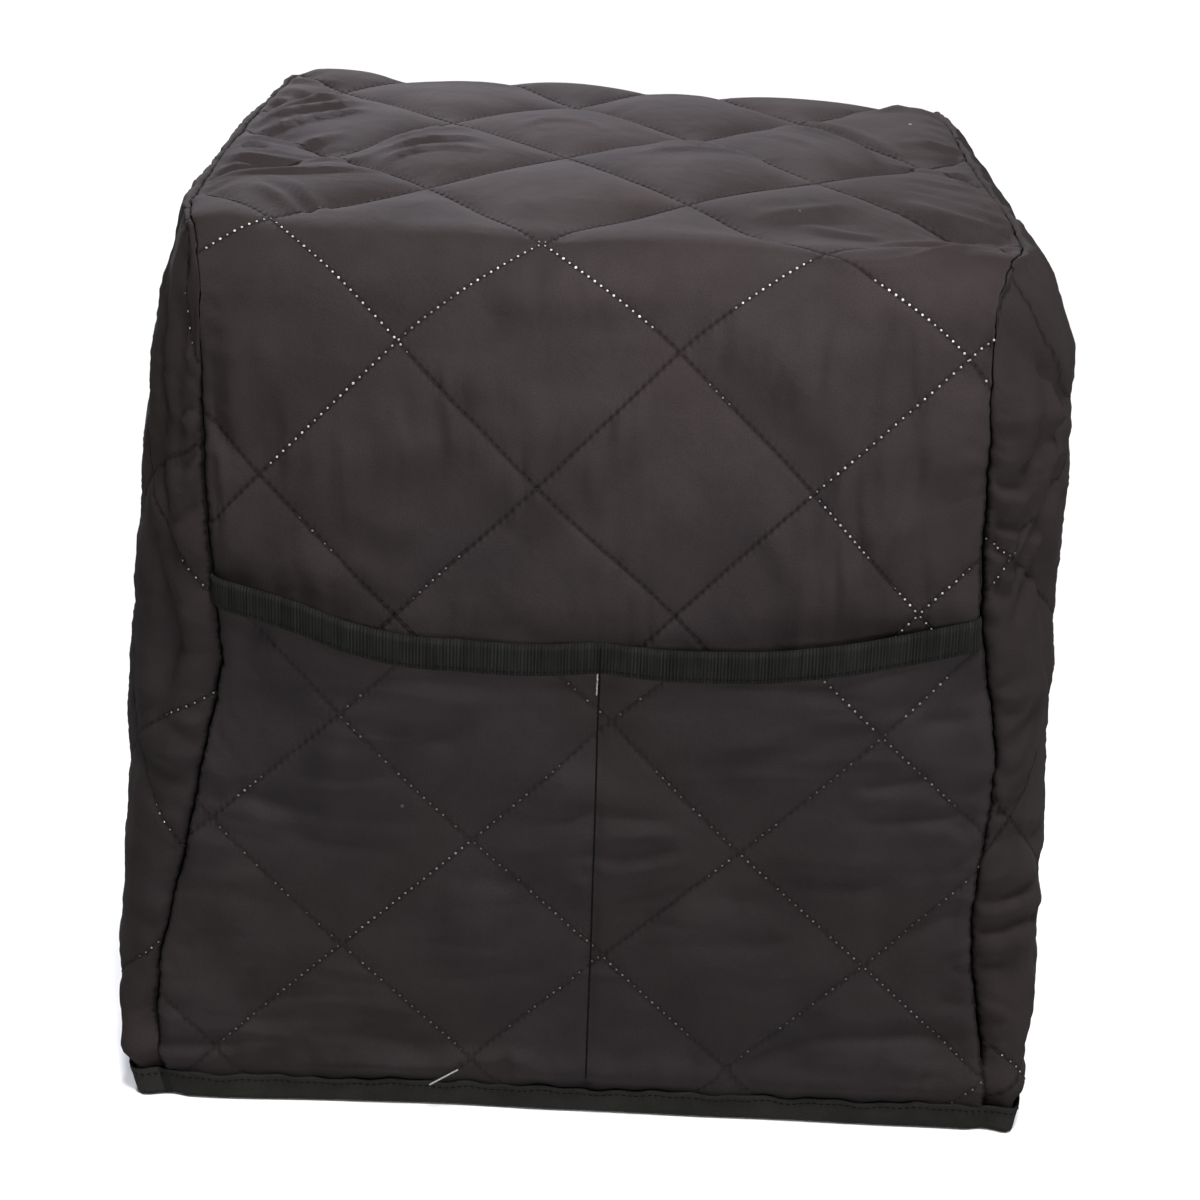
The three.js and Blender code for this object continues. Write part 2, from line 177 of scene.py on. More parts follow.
def side_view(along):
    """Place (y, z) and outward normal of the strip's side view: a straight wall, a round edge, the flat
    top, a round edge and a straight wall, end to end."""
    s = np.clip(np.asarray(along, float), 0, LENGTH)[..., None]
    arc_front = FRONT_ANGLE - (s - ENDS[0]) / FRONT_RADIUS
    arc_back = UPRIGHT - (s - ENDS[2]) / BACK_RADIUS
    top_run = (TOP_END - TOP_START) / SPANS[2]
    up_run, down_run = (FRONT_END - FRONT_HEM) / SPANS[0], (BACK_HEM - BACK_START) / SPANS[4]
    zones = [s < ENDS[0], s < ENDS[1], s < ENDS[2], s < ENDS[3], s >= ENDS[3]]
    front_arc = around(arc_front[..., 0])
    back_arc = around(arc_back[..., 0])
    everywhere = lambda vector: np.broadcast_to(vector, front_arc.shape)
    front_wall, back_wall = everywhere(around(FRONT_ANGLE)), everywhere(around(BACK_ANGLE))
    flat = everywhere(np.array([-top_run[1], top_run[0]]))
    places = [
        FRONT_HEM + up_run * s,
        FRONT_CENTRE + FRONT_RADIUS * front_arc,
        TOP_START + top_run * (s - ENDS[1]),
        BACK_CENTRE + BACK_RADIUS * back_arc,
        BACK_START + down_run * (s - ENDS[3]),
    ]
    normals = [front_wall, front_arc, flat, back_arc, back_wall]
    return np.select(zones, places), np.select(zones, normals)


def facing_out(along):
    """The strip's outward normal (x, y, z) at distances along it."""
    normal = side_view(along)[1]
    return np.stack([0 * normal[..., 0], normal[..., 0], normal[..., 1]], -1)


def strip_point(x, along, out=0.0):
    """A point of the strip: the side view swept sideways, with the crown between the seams and the broad
    folds added along the outward normal."""
    x, along, out = np.broadcast_arrays(*(np.asarray(value, float) for value in (x, along, out)))
    place, normal = side_view(along)
    left, right = edges(along)
    across = (x - left) / (right - left)
    arch = 1 - np.minimum(np.abs(2 * across - 1), 1) ** CROWN_POWER
    lift = read(CROWNS, "along", "crown", along) * arch + out
    for k in range(len(FOLDS["lift"])):
        up = (along - FOLDS["along"][k]) / FOLDS["reach_along"][k]
        aside = (across - FOLDS["across"][k]) / FOLDS["reach_across"][k]
        lift = lift + FOLDS["lift"][k] * np.exp(-(up**2) - aside**2)
    return np.stack([x, place[..., 0] + normal[..., 0] * lift, place[..., 1] + normal[..., 1] * lift], -1)


# ---------------------------------------------------------------- the quilting's lattice

# Half the diagonals of a quilting square, across and along the cloth, and where one crossing lies.
SQUARE_ACROSS = 53.9
SQUARE_ALONG = 56.6
CROSSING_X = -27.0
CROSSING_Q = 18.0
POCKET_SQUARE_ALONG = 53.0
POCKET_CROSSING_X = -48.0
POCKET_CROSSING_ALONG = 180.4

# How far the crossings of the strip's sewn lines are pulled out of place, to the right and onwards along
# the strip, by column and row of the lattice. Crossings given as nought hold their neighbours' pull off.
PULLS = table("column row across along", [
    (-1, -3, 0, 4), (1, -3, 4, 11), (3, -3, -12, 15), (-2, -2, 0, 1), (0, -2, 1, 1),
    (2, -2, 1, 2), (-1, -1, 0, 0), (1, -1, 0, 2), (3, -1, 0, 0), (2.5, -0.5, 10, 8),
    (-2, 0, 2, 12), (0, 0, -1, -6), (2, 0, -8, -9), (-1, 1, 3, 8), (1, 1, 2, -2),
    (3, 1, 16, -53), (-2, 2, 17, -13), (0, 2, 3, 4), (2, 2, -1, -20), (-1, 3, 2, 12),
    (1, 3, 5, 5), (3, 3, -9, -53), (0, 4, 2, -6), (2, 4, -3, -22),
])

# The quilting's own distance is less than the strip's by QUILT_START, and it runs ahead by AHEAD round the
# front edge, from AHEAD_FROM on and over AHEAD_REACH.
QUILT_START = 367.8
AHEAD = 12.4
AHEAD_FROM = -37.8
AHEAD_REACH = 63.4


def smoothstep(t):
    """Nought up to nought, one from one on, and a smooth rise between."""
    t = np.clip(t, 0, 1)
    return t * t * (3 - 2 * t)


def pulled(u, v):
    """Shift (across, along) of the sewn lines at a place of the lattice: the mean of the nearby crossings'
    own shifts, weighted by a bell of their distance, and fading to none away from them."""
    total, weights = np.zeros(np.shape(u) + (2,)), np.full(np.shape(u), 0.15)
    for k in range(len(PULLS["row"])):
        weight = np.exp(-((u - PULLS["column"][k]) ** 2 + (v - PULLS["row"][k]) ** 2) / 0.9)
        total += weight[..., None] * np.array([PULLS["across"][k], PULLS["along"][k]])
        weights += weight
    return total / weights[..., None]


def quilt_to_along(q):
    """Distance along the strip from the quilting's own distance."""
    return q + QUILT_START - AHEAD * smoothstep((q - AHEAD_FROM) / AHEAD_REACH)


def soft_least(a, b, width):
    """The smaller of two, rounded where they cross."""
    return -width * np.logaddexp(-a / width, -b / width)


# ---------------------------------------------------------------- cloth

# How the cloth settles: in how many steps, the share of each link's misfit that a step takes up, how stiff
# the diagonal links are beside the straight ones, how strongly bending is damped, how high the seeded
# roughness is that it starts from, and the hold of the wadding at the sewn lines.
SETTLE_STEPS = 300
TAKE_UP = 0.25
DIAGONAL = 0.35
BEND = 0.02
ROUGH = 0.25
SEWN_HOLD = 0.3
# How near in squares to a sewn line a grid point is held by it, and how many passes even out the inner face.
SEWN_NEAR = 0.02
INNER_PASSES = 8


def unit(v):
    """Vectors made one long."""
    return v / np.maximum(np.linalg.norm(v, axis=-1, keepdims=True), 1e-9)


def grid_normals(grid):
    """Outward unit normals of a grid: the cross product of its run across and its run up."""
    return unit(np.cross(np.gradient(grid, axis=1), np.gradient(grid, axis=0)))


def blurred(grid, passes):
    """The grid after so many passes of averaging each point with its four neighbours."""
    grid = np.array(grid, float)
    for _ in range(passes):
        pad = np.pad(grid, [(1, 1), (1, 1)] + [(0, 0)] * (grid.ndim - 2), mode="edge")
        around_it = pad[:-2, 1:-1] + pad[2:, 1:-1] + pad[1:-1, :-2] + pad[1:-1, 2:]
        grid = 0.5 * grid + 0.125 * around_it
    return grid


def speckle(shape, passes, seed):
    """Seeded noise of unit spread, blurred to a lump size that grows with the passes."""
    grid = blurred(np.random.default_rng(seed).normal(size=shape), passes)
    return grid / grid.std()


def bent(grid):
    """The grid's second differences in both directions together, with free edges."""
    pad = np.pad(grid, [(1, 1), (1, 1), (0, 0)], mode="edge")
    return pad[:-2, 1:-1] + pad[2:, 1:-1] + pad[1:-1, :-2] + pad[1:-1, 2:] - 4 * grid


def settle(base, height, hold, spare_up, spare_across, seed):
    """Lets a panel with more cloth than room for it buckle. Each link between neighbouring points wants its
    length at the start times one plus its spare share, the wadding draws each point to its height above the
    base by its hold, bending away from that shape is damped by the second difference of the second
    difference, and the four edges stay."""
    fixed = np.ones(height.shape, bool)
    fixed[1:-1, 1:-1] = False
    out = grid_normals(base)
    start = base + out * height[..., None]
    cloth = start + out * (ROUGH * speckle(height.shape, 3, seed))[..., None]
    cloth[fixed] = start[fixed]
    up = (start[1:] - start[:-1]) * (1 + spare_up[1:, :, None])
    across = (start[:, 1:] - start[:, :-1]) * (1 + spare_across[:, 1:, None])
    links = [
        (np.s_[:-1, :], np.s_[1:, :], up, 1.0),
        (np.s_[:, :-1], np.s_[:, 1:], across, 1.0),
        (np.s_[:-1, :-1], np.s_[1:, 1:], up[:, :-1] + across[1:], DIAGONAL),
        (np.s_[:-1, 1:], np.s_[1:, :-1], up[:, :-1] - across[:-1], DIAGONAL),
    ]
    links = [(a, b, np.linalg.norm(rest, axis=-1), stiff) for a, b, rest, stiff in links]
    for _ in range(SETTLE_STEPS):
        move = np.zeros_like(cloth)
        for a, b, rest, stiff in links:
            gap = cloth[b] - cloth[a]
            length = np.sqrt((gap * gap).sum(-1))
            pull = (TAKE_UP * stiff * (1 - rest / length))[..., None] * gap
            move[a] += pull
            move[b] -= pull
        cloth += move
        cloth -= BEND * bent(bent(cloth - start))
        lift = ((cloth - base) * out).sum(-1)
        cloth += (hold * (height - lift))[..., None] * out
        cloth[fixed] = start[fixed]
    return cloth


# ---------------------------------------------------------------- folds

FOLD_COLUMNS = "from_x from_y to_x to_y bow width lift"


def fold_set(*columns):
    """Folds as one array for each of their columns."""
    return dict(zip(FOLD_COLUMNS.split(), columns))


def all_together(sets):
    """Several sets of folds as one."""
    return {key: np.concatenate([one[key] for one in sets]) for key in FOLD_COLUMNS.split()}


def ridges(across, along, marks):
    """Height of a set of folds: each is a bell across its line, which may bow aside, and dies away at its
    ends."""
    height = np.zeros(np.broadcast(across, along).shape)
    for a, b, c, d, bow, width, lift in zip(*[marks[key] for key in FOLD_COLUMNS.split()]):
        reach = math.hypot(c - a, d - b)
        t = ((across - a) * (c - a) + (along - b) * (d - b)) / reach**2
        off = ((across - a) * (d - b) - (along - b) * (c - a)) / reach
        off = off - bow * np.clip(1 - (2 * t - 1) ** 2, 0, 1)
        height += lift * np.exp(-((off / width) ** 2) - (np.abs(2 * t - 1) / 1.05) ** 5)
    return height


# Families of folds side by side: how many there are, where the first one and the last one start and end
# (across and along the strip, or for a side panel the run of cloth from its front seam and the height), and
# their bow, width and lift.
FAMILY_COLUMNS = (
    "count first_x first_y first_to_x first_to_y last_x last_y last_to_x last_to_y bow width lift"
)
STRIP_FAMILIES = table(FAMILY_COLUMNS, [
    # top, from the left seam inwards
    (3, -168, 435, -100, 445, -165, 500, -122, 505, 5, 3, 2.2),
    (3, -163, 520, -118, 545, -160, 565, -130, 582, 3, 2.8, 1.9),
    (2, -166, 450, -140, 450, -165, 480, -145, 478, -5, 2.2, 1.3),
    # top left, round the crossing behind the front edge
    (3, -103, 495, -68, 520, -95, 468, -60, 478, -5, 2.4, 1.4),
    (2, -145, 415, -125, 390, -130, 418, -112, 395, 0, 3, 1.3),
    (1, -45, 538, -12, 533, 0, 0, 0, 0, -8, 3, 1.2),
    # top, right of the middle
    (2, 10, 485, 58, 500, 15, 512, 46, 508, -3, 3, 1.3),
    (3, 60, 537, 90, 487, 78, 588, 122, 512, -4, 2.4, 1.5), (1, 97, 602, 130, 604, 0, 0, 0, 0, 6, 3, 1.2),
    # top, slanting forwards into the right seam
    (4, 118, 532, 145, 535, 115, 435, 150, 408, 1, 2.4, 1.5),
    (2, 112, 430, 145, 402, 106, 388, 148, 398, -2, 2.8, 1.5),
    # front edge, right
    (2, 54, 411, 93, 424, 76, 403, 100, 398, 1, 3, 1.3),
    (2, 80, 368, 110, 367, 116, 366, 159, 398, 3, 3, 1.8),
    # front, short dents below the crossings and at the left seam
    (3, -157, 322, -148, 300, -155, 296, -142, 278, 1, 4, -1.5),
    (3, -83, 312, -76, 290, 2, 332, 4, 310, 0, 6.5, -1.2),
    (2, 0, 300, 7, 247, -16, 282, -2, 258, 0, 6, -1.3),
    (2, -99, 263, -78, 252, -99, 240, -75, 230, 0, 8, 1.3),
    (2, 95, 288, 125, 298, 104, 258, 137, 268, -3, 7, 0.9),
])
POCKET_FAMILIES = table(FAMILY_COLUMNS, [
    # left half
    (2, -124, 128, -82, 122, -144, 142, -113, 138, 1, 5, -1.7),
    (1, -86, 173, -55, 175, 0, 0, 0, 0, 1, 4, -1.6), (2, -28, 137, 1, 137, -45, 108, -5, 110, 0, 4, -1.5),
    (1, -57, 64, -23, 64, 0, 0, 0, 0, 0, 4, -1.2), (2, -148, 12, -97, 17, -93, 28, -61, 15, -4, 6, -1.2),
    # right half, inwards from the middle seam
    (3, 6, 140, 30, 142, 8, 101, 42, 113, 0, 3.4, -1.5), (1, 33, 166, 87, 173, 0, 0, 0, 0, 1, 4.5, -1.8),
    (1, 76, 119, 116, 115, 0, 0, 0, 0, 0, 4.5, -2.6), (1, 78, 126, 114, 121, 0, 0, 0, 0, 0, 5, 1.4),
    (1, 53, 108, 75, 106, 0, 0, 0, 0, 1, 4, -1.4), (1, 60, 86, 82, 86, 0, 0, 0, 0, 0, 4, -1.2),
    # towards the right seam and the low right corner
    (2, 109, 147, 147, 145, 106, 159, 131, 163, 0, 3.5, -1.9),
    (1, 129, 188, 148, 187, 0, 0, 0, 0, 0, 3.5, -1.4), (1, 129, 88, 155, 100, 0, 0, 0, 0, -1, 4, -1.8),
    (1, 145, 61, 163, 54, 0, 0, 0, 0, -1, 4, -2), (1, 64, 19, 107, 39, 0, 0, 0, 0, -4.5, 4.5, -2.4),
    (1, 107, 39, 153, 41, 0, 0, 0, 0, -1, 4.5, -2.4),
])
SIDE_FAMILIES = {
    "left": table(FAMILY_COLUMNS, [
        (2, 27, 293, 10, 280, 25, 262, 15, 230, 1, 6, -2.6),
        (3, 2, 300, 15, 290, 2, 262, 12, 250, 0, 2.8, -2),
        (2, 38, 330, 26, 262, 30, 240, 20, 175, 2, 6, -4),
        (2, 14, 330, 12, 280, 16, 215, 18, 165, 1, 5, -2.4),
        (2, 32, 160, 0, 155, 35, 136, 2, 140, 4, 4.5, -1.5),
    ]),
    "right": table(FAMILY_COLUMNS, [
        (2, 5, 340, 45, 300, 8, 280, 35, 296, 0, 4, -3.6),
        (3, 15, 247, 40, 296, 13, 222, 32, 250, 1, 3.4, -4.6),
        (4, 2, 285, 16, 276, 2, 240, 13, 230, 0, 2.6, -2.7), (1, 24, 318, 10, 296, 0, 0, 0, 0, 3, 7, 2.4),
        (2, 26, 330, 22, 235, 36, 300, 32, 190, 3, 5, -4.4), (1, 2, 129, 47, 113, 0, 0, 0, 0, -2, 4, -1.6),
        (2, 0, 103, 45, 90, 2, 91, 45, 78, -3, 3.5, -3.3),
        (2, 0, 190, 13, 185, 8, 170, 22, 183, 0, 4, -1.6),
    ]),
}

# Short folds that run in from a seam: their seed, the stretch of seam they are on, their spacing along it,
# and their length, lift, width and lean.
STRIP_PLEATS = [
    (1, 205, 360, 11, 9, -0.8, 2.6, 0.5),
    (3, 570, 640, 17, 34, 1.4, 3.6, 0.4),
    (5, 395, 630, 9, 10, -0.9, 2.6, 0.5),
    (7, 655, 990, 17, 26, 1.4, 4.0, 0.4),
    (9, 655, 990, 9, 9, -1.0, 2.6, 0.4),
]
POCKET_PLEATS = {
    "left": [(61, 20, 200, 9, 9, -0.7, 2.6, 0.5)],
    "right": [(62, 20, 200, 9, 10, -0.9, 2.6, 0.5)],
    "hem": [(63, -170, 165, 10, 12, -1.1, 2.6, 0.6)],
}

# Where one crossing of each side panel's sewn lines lies, by run and height.
SIDE_CROSSINGS = {"left": (34.0, 258.0), "right": (12.0, 250.0)}
# Where each side panel's cloth is pulled down: run, height, reach and how far.
SIDE_PULLS = {"left": (10.0, 335.0, 45.0, 20.0), "right": (25.0, 325.0, 45.0, 28.0)}


def families(seed, kinds):
    """The folds of each family, evenly from its first to its last, with a shallower one the other way
    between each two. Seeded changes shift their ends by up to 2 mm and vary their lift by a quarter."""
    dice = np.random.default_rng(seed)
    sets = []
    for k, count in enumerate(kinds["count"].astype(int)):
        ends = lambda which: np.array([kinds[which + part][k] for part in ("_x", "_y", "_to_x", "_to_y")])
        share = np.linspace(0, 1, 2 * count - 1)[:, None]
        spots = ends("first") * (1 - share) + (ends("last") if count > 1 else 0) * share
        spots = spots + dice.uniform(-2, 2, spots.shape)
        turned = np.arange(len(spots)) % 2
        bow = np.full(len(spots), kinds["bow"][k])
        width = kinds["width"][k] * (1 - 0.2 * turned)
        lift = kinds["lift"][k] * (1 - 1.4 * turned) * dice.uniform(0.75, 1.25, len(spots))
        sets.append(fold_set(*spots.T, bow, width, lift))
    return sets


def pleats(kinds, seam, more=0):
    """Short folds that run in from a seam, a set for each row of kinds, whose seed is its own plus more:
    their places along the seam are spaced unevenly, and each one's length, lift and lean vary. seam gives
    the points (x, y) at places along it and distances in from it."""
    sets = []
    for seed, low, high, spacing, length, lift, width, lean in kinds:
        dice = np.random.default_rng(seed + more)
        gaps = spacing * dice.uniform(0.55, 1.45, int((high - low) / spacing) + 1)
        place = low + np.cumsum(gaps)
        place = place[place < high]
        count = len(place)
        reach = length * dice.uniform(0.5, 1.5, count)
        start = seam(place, np.full(count, -2.0))
        end = seam(place + dice.uniform(-lean, lean, count) * reach, reach)
        bow = dice.uniform(-2, 2, count)
        widths = width * dice.uniform(0.7, 1.3, count)
        lifts = lift * dice.uniform(0.4, 1.2, count)
        sets.append(fold_set(*start, *end, bow, widths, lifts))
    return sets


def pillow(a, b):
    """Share of full puff over the quilting: nought on both sets of sewn lines, rising steeply beside
    them."""
    rise = lambda t: 1 - (1 - np.abs(t)) ** 3.2
    return rise(a) * rise(b)


def from_lines(lattice, odd=0):
    """How far each grid point is from the nearest falling line and the nearest rising line, in squares,
    with its sign."""
    wrap = lambda n: (n + odd + 1) % 2 - 1
    return wrap(lattice[..., 0] + lattice[..., 1]), wrap(lattice[..., 0] - lattice[..., 1])


# ---------------------------------------------------------------- meshes


def new_mesh(name, points, triangles=None, quads=None, maps=None, marks=None):
    """A mesh object at the frame's origin, from points in the cover's millimetres. maps are UV maps and
    marks are float attributes, each with one value to a point."""
    parts = [np.asarray(f, np.int32) for f in (triangles, quads) if f is not None and len(f)]
    corners = np.concatenate([f.ravel() for f in parts])
    sizes = np.concatenate([np.full(len(f), f.shape[1]) for f in parts])
    starts = np.concatenate([[0], np.cumsum(sizes)[:-1]])
    mesh = bpy.data.meshes.new(name)
    mesh.vertices.add(len(points))
    mesh.vertices.foreach_set("co", ((np.asarray(points) + ORIGIN) * MM).astype(np.float32).ravel())
    mesh.loops.add(len(corners))
    mesh.loops.foreach_set("vertex_index", corners)
    mesh.polygons.add(len(sizes))
    mesh.polygons.foreach_set("loop_start", starts.astype(np.int32))
    mesh.polygons.foreach_set("use_smooth", np.ones(len(sizes), bool))
    for title, values in (maps or {}).items():
        layer = mesh.uv_layers.new(name=title)
        layer.data.foreach_set("uv", np.asarray(values, np.float32)[corners].ravel())
    for title, values in (marks or {}).items():
        attribute = mesh.attributes.new(title, "FLOAT", "POINT")
        attribute.data.foreach_set("value", np.asarray(values, np.float32).ravel())
    mesh.update()
    mesh.validate()
    obj = bpy.data.objects.new(name, mesh)
    bpy.context.scene.collection.objects.link(obj)
    return obj


def grid_faces(rows, columns, first=0, wrap=False):
    """Quads of a grid of points numbered row by row from first, closed across if wrap."""
    number = first + np.arange(rows * columns).reshape(rows, columns)
    if wrap:
        number = np.concatenate([number, number[:, :1]], 1)
    corners = [number[:-1, :-1], number[:-1, 1:], number[1:, 1:], number[1:, :-1]]
    return np.stack(corners, -1).reshape(-1, 4)


def split_quads(quads, rising):
    """Two triangles for each quad, cut from its first corner to its third where rising, otherwise the other
    way."""
    a, b, c, d = quads.T
    one = np.where(rising[:, None], np.stack([a, b, c], -1), np.stack([a, b, d], -1))
    two = np.where(rising[:, None], np.stack([a, c, d], -1), np.stack([b, c, d], -1))
    return np.concatenate([one, two])


def shell(name, outer, inner, rising, maps, marks):
    """A closed sheet from an outer grid and an inner one, with a rim of quads round its four edges. Both
    grids take the same maps and marks."""
    rows, columns = outer.shape[:2]
    count = rows * columns
    front = split_quads(grid_faces(rows, columns), rising)
    back = split_quads(grid_faces(rows, columns, count), rising)[:, ::-1]
    number = np.arange(count).reshape(rows, columns)
    ring = np.concatenate([number[0], number[1:, -1], number[-1, -2::-1], number[-2:0:-1, 0]])
    onward = np.roll(ring, -1)
    rim = np.stack([onward, ring, ring + count, onward + count], -1)
    points = np.concatenate([outer.reshape(-1, 3), inner.reshape(-1, 3)])
    maps = {title: np.tile(np.asarray(v).reshape(-1, 2), (2, 1)) for title, v in maps.items()}
    marks = {title: np.tile(v.ravel(), 2) for title, v in marks.items()}
    return new_mesh(name, points, np.concatenate([front, back]), rim, maps, marks)


def cloth_lengths(grid):
    """UV map in metres of real cloth: running lengths across and up the grid, each from its middle line."""
    rows, columns = grid.shape[:2]
    across = np.zeros((rows, columns))
    across[:, 1:] = np.cumsum(np.linalg.norm(np.diff(grid, axis=1), axis=-1), 1)
    across -= across[:, columns // 2][:, None]
    up = np.zeros((rows, columns))
    up[1:] = np.cumsum(np.linalg.norm(np.diff(grid, axis=0), axis=-1).mean(1))[:, None]
    return np.stack([across, up], -1) * MM


def run_and_across(run, across):
    """UV map in metres of a section carried along a path, from the lengths along the path and round the
    section."""
    return np.stack(np.broadcast_arrays(run[:, None], across[None, :]), -1).reshape(-1, 2) * MM


class Panel:
    """One quilted piece: its grid of points outside and inside, its lattice coordinates and its sewn
    lines."""

    def __init__(
        self,
        name,
        base,
        lattice,
        odd,
        folds,
        hold,
        spare_up,
        spare_across,
        in_seam,
        puff,
        groove,
        thick,
        seed,
    ):
        """folds is the height of the folds over the base, puff and groove are how far the cloth swells
        between the sewn lines and is drawn in at them, and thick is the quilt's thickness at the lines and
        between them."""
        self.name, self.lattice, self.odd = name, lattice, odd
        slopes = [np.gradient(lattice[..., 0], axis=1), np.gradient(lattice[..., 1], axis=0)]
        self.slopes = np.stack(slopes, -1)
        a, b = from_lines(lattice, odd)
        share = pillow(a, b)
        sewn = np.minimum(np.abs(a), np.abs(b)) < SEWN_NEAR
        height = folds + puff * share - groove * (1 - share)
        self.outer = settle(base, height, np.where(sewn, SEWN_HOLD, hold), spare_up, spare_across, seed)
        self.out = grid_normals(self.outer)
        below = (thick[0] + (thick[1] - thick[0]) * share)[..., None]
        self.inner = base + blurred(self.outer - base, INNER_PASSES) - grid_normals(base) * below
        if lattice[0, -1, 0] < lattice[0, 0, 0]:
            a, b = b, a
        self.rising = np.abs(b)[:-1, :-1] + np.abs(b)[1:, 1:] < np.abs(a)[1:, :-1] + np.abs(a)[:-1, 1:]
        self.maps = {"cloth": cloth_lengths(base), "quilt": lattice + np.array([0, odd])}
        # The strength of the painted shade in the seams' creases, handed to the finish as a mark.
        self.marks = {"in_seam": in_seam}

    def build(self):
        """The panel as a closed mesh."""
        return shell(self.name, self.outer, self.inner, self.rising.ravel(), self.maps, self.marks)

    def mixed(self, grid, r, c):
        """A grid's value between its points: a straight mix of the four round a place (row, column)."""
        i, j = r.astype(int), c.astype(int)
        s, t = (r - i)[:, None], (c - j)[:, None]
        low = grid[i, j] * (1 - t) + grid[i, j + 1] * t
        high = grid[i + 1, j] * (1 - t) + grid[i + 1, j + 1] * t
        return low * (1 - s) + high * s

    def find(self, u, v):
        """Grid places (row, column) of lattice coordinates, and what is left between them: from a first
        guess by the grid's usual slopes, steps by the slopes where each place is, none of them long."""
        wanted, last = np.stack([u, v], -1), np.array(self.lattice.shape[:2]) - 1.001
        corner, step = self.lattice[0, 0], np.median(self.slopes, (0, 1))
        place = ((wanted - corner) / step)[:, ::-1]
        for _ in range(16):
            place = np.clip(place, 0, last)
            left = wanted - self.mixed(self.lattice, *place.T)
            slope = self.mixed(self.slopes, *place.T)
            place = place + np.clip(left / slope, -4, 4)[:, ::-1]
        place = np.clip(place, 0, last)
        return place, np.abs(wanted - self.mixed(self.lattice, *place.T)).max(-1)

    def at(self, grid, u, v):
        """A grid's value at lattice coordinates."""
        return self.mixed(grid, *self.find(u, v)[0].T)

    def sewing(self, step):
        """Lattice places of every stitch on the sewn lines, at even steps, with the lattice direction of
        each."""
        low_u, low_v = self.lattice.min((0, 1))
        high_u, high_v = self.lattice.max((0, 1))
        found = []
        for sign in (1, -1):
            ends = sorted(u + sign * v for u in (low_u, high_u) for v in (low_v, high_v))
            for n in range(math.floor(ends[0]), math.ceil(ends[-1]) + 1):
                if (n + self.odd) % 2:
                    continue
                start = (sign * n - self.odd) / 2
                first, last = math.ceil((low_v - start) / step), math.floor((high_v - start) / step)
                v = start + step * np.arange(first, last + 1)
                u = n - sign * v
                way = np.tile([-sign * step, step], (len(v), 1))
                found.append(np.concatenate([np.stack([u, v], -1), way], 1))
        sewn = np.concatenate(found)
        place, left = self.find(sewn[:, 0], sewn[:, 1])
        inside = (place > 1.5).all(1) & (place < np.array(self.lattice.shape[:2]) - 2.5).all(1)
        return sewn[inside & (left < 0.01)]


# ---------------------------------------------------------------- the strip and the side panels

# How deep the cloth rolls in at a seam, how far from the seam that starts, and the gap that a piece leaves.
SEAM_ROLL = 5.0
SEAM_REACH = 6.5
SEAM_GAP = 0.15
# How far short of the strip's two ends the cloth's grids stop.
SHORT = 0.3
# How far from a hem the seams lie flush, and over how much more they gain their depth.
FLUSH, GAIN = 8, 22
# Where the cloth puffs out over each seam: how far along it, the reach, and the share of the seam it hides.
PUFFED_OVER = {"left": (346, 34, 0.95), "right": (344, 40, 0.97)}
# Where the seams' run round the top begins, over how much it does, and the shares of a seam's depth and of
# its painted crease shade that are missing there.
ROUND_FROM, ROUND_FADE = 350, 20
SHALLOWER, PALER = 0.3, 0.85
# The sines of a seam's waver: height, length, how far and over what drift each slides out of step, and how
# many times its side's own slide it starts with.
SEAM_SINES = [(0.25, 23.7, 2.4, 37, 1), (0.15, 9.1, 2.2, 19, 2), (0.2, 5.9, 2.6, 11, 3)]
SEAM_SLIDES = {"left": 1.0, "right": 2.6}
# How far short of each seam the strip's columns begin to bend away from it, and how gently they do.
BEND_FROM, BEND_WIDTH = 4, 3.0


def near_hem(along):
    """Nought at the hems and one away from them."""
    return smoothstep((along - FLUSH) / GAIN) * smoothstep((LENGTH - along - FLUSH) / GAIN)


def rolled(distance):
    """Share of the seam's depth at a distance from it: a quarter of an ellipse, steepest at the seam."""
    return 1 - np.sqrt(1 - np.clip(1 - distance / SEAM_REACH, 0, 1) ** 2)


def puffed_over(side, along):
    """How far a seam is hidden, up to nearly one at the upper front corner, where the cloth is puffed out
    over it."""
    corner, reach, share = PUFFED_OVER[side]
    return share * np.exp(-(((along - corner) / reach) ** 2))


def round_top(along):
    """One where a seam runs round the top and nought down the front and the back."""
    to_start, to_end = along - ROUND_FROM, LENGTH - along - ROUND_FROM
    return smoothstep(to_start / ROUND_FADE) * smoothstep(to_end / ROUND_FADE)


def seam_depth(side, along):
    """How deep a seam lies in: full depth but at the hems, round the top and where it is hidden."""
    shown = near_hem(along) * (1 - puffed_over(side, along))
    return SEAM_ROLL * shown * (1 - SHALLOWER * round_top(along))


def in_seam(side, distance, along):
    """How strongly the cloth at a distance from a seam is painted with the shade of its crease, from one at
    the seam itself, and less round the top."""
    return np.exp(-distance / 2) * (1 - puffed_over(side, along)) * (1 - PALER * round_top(along))


def seam_dip(side, distance, along):
    """How deep the cloth has rolled in at a distance from a seam."""
    return -seam_depth(side, along) * rolled(distance)


def seam_wave(side, along):
    """The gathered seam's own sideways waver: three sines of unlike lengths, slowly sliding out of step."""
    waver = 0
    for height, length, swing, drift, times in SEAM_SINES:
        slide = swing * np.sin(along / drift + times * SEAM_SLIDES[side])
        waver = waver + height * np.sin(along * 2 * np.pi / length + slide)
    return waver * near_hem(along)


def in_from(side):
    """The points (x, along) at places along one of the strip's edges and distances in from it."""
    if side == "left":
        return lambda place, depth: (edges(place)[0] + depth, place)
    return lambda place, depth: (edges(place)[1] - depth, place)


def clear_of(distance, reach):
    """Nought at a seam, and rising evenly to one within a reach."""
    return np.clip(distance / reach, 0, 1)


def gathered(distance, reach):
    """Share of a seam's gathering that is left at a distance from it."""
    return np.exp(-np.maximum(distance - 2, 0) / reach)


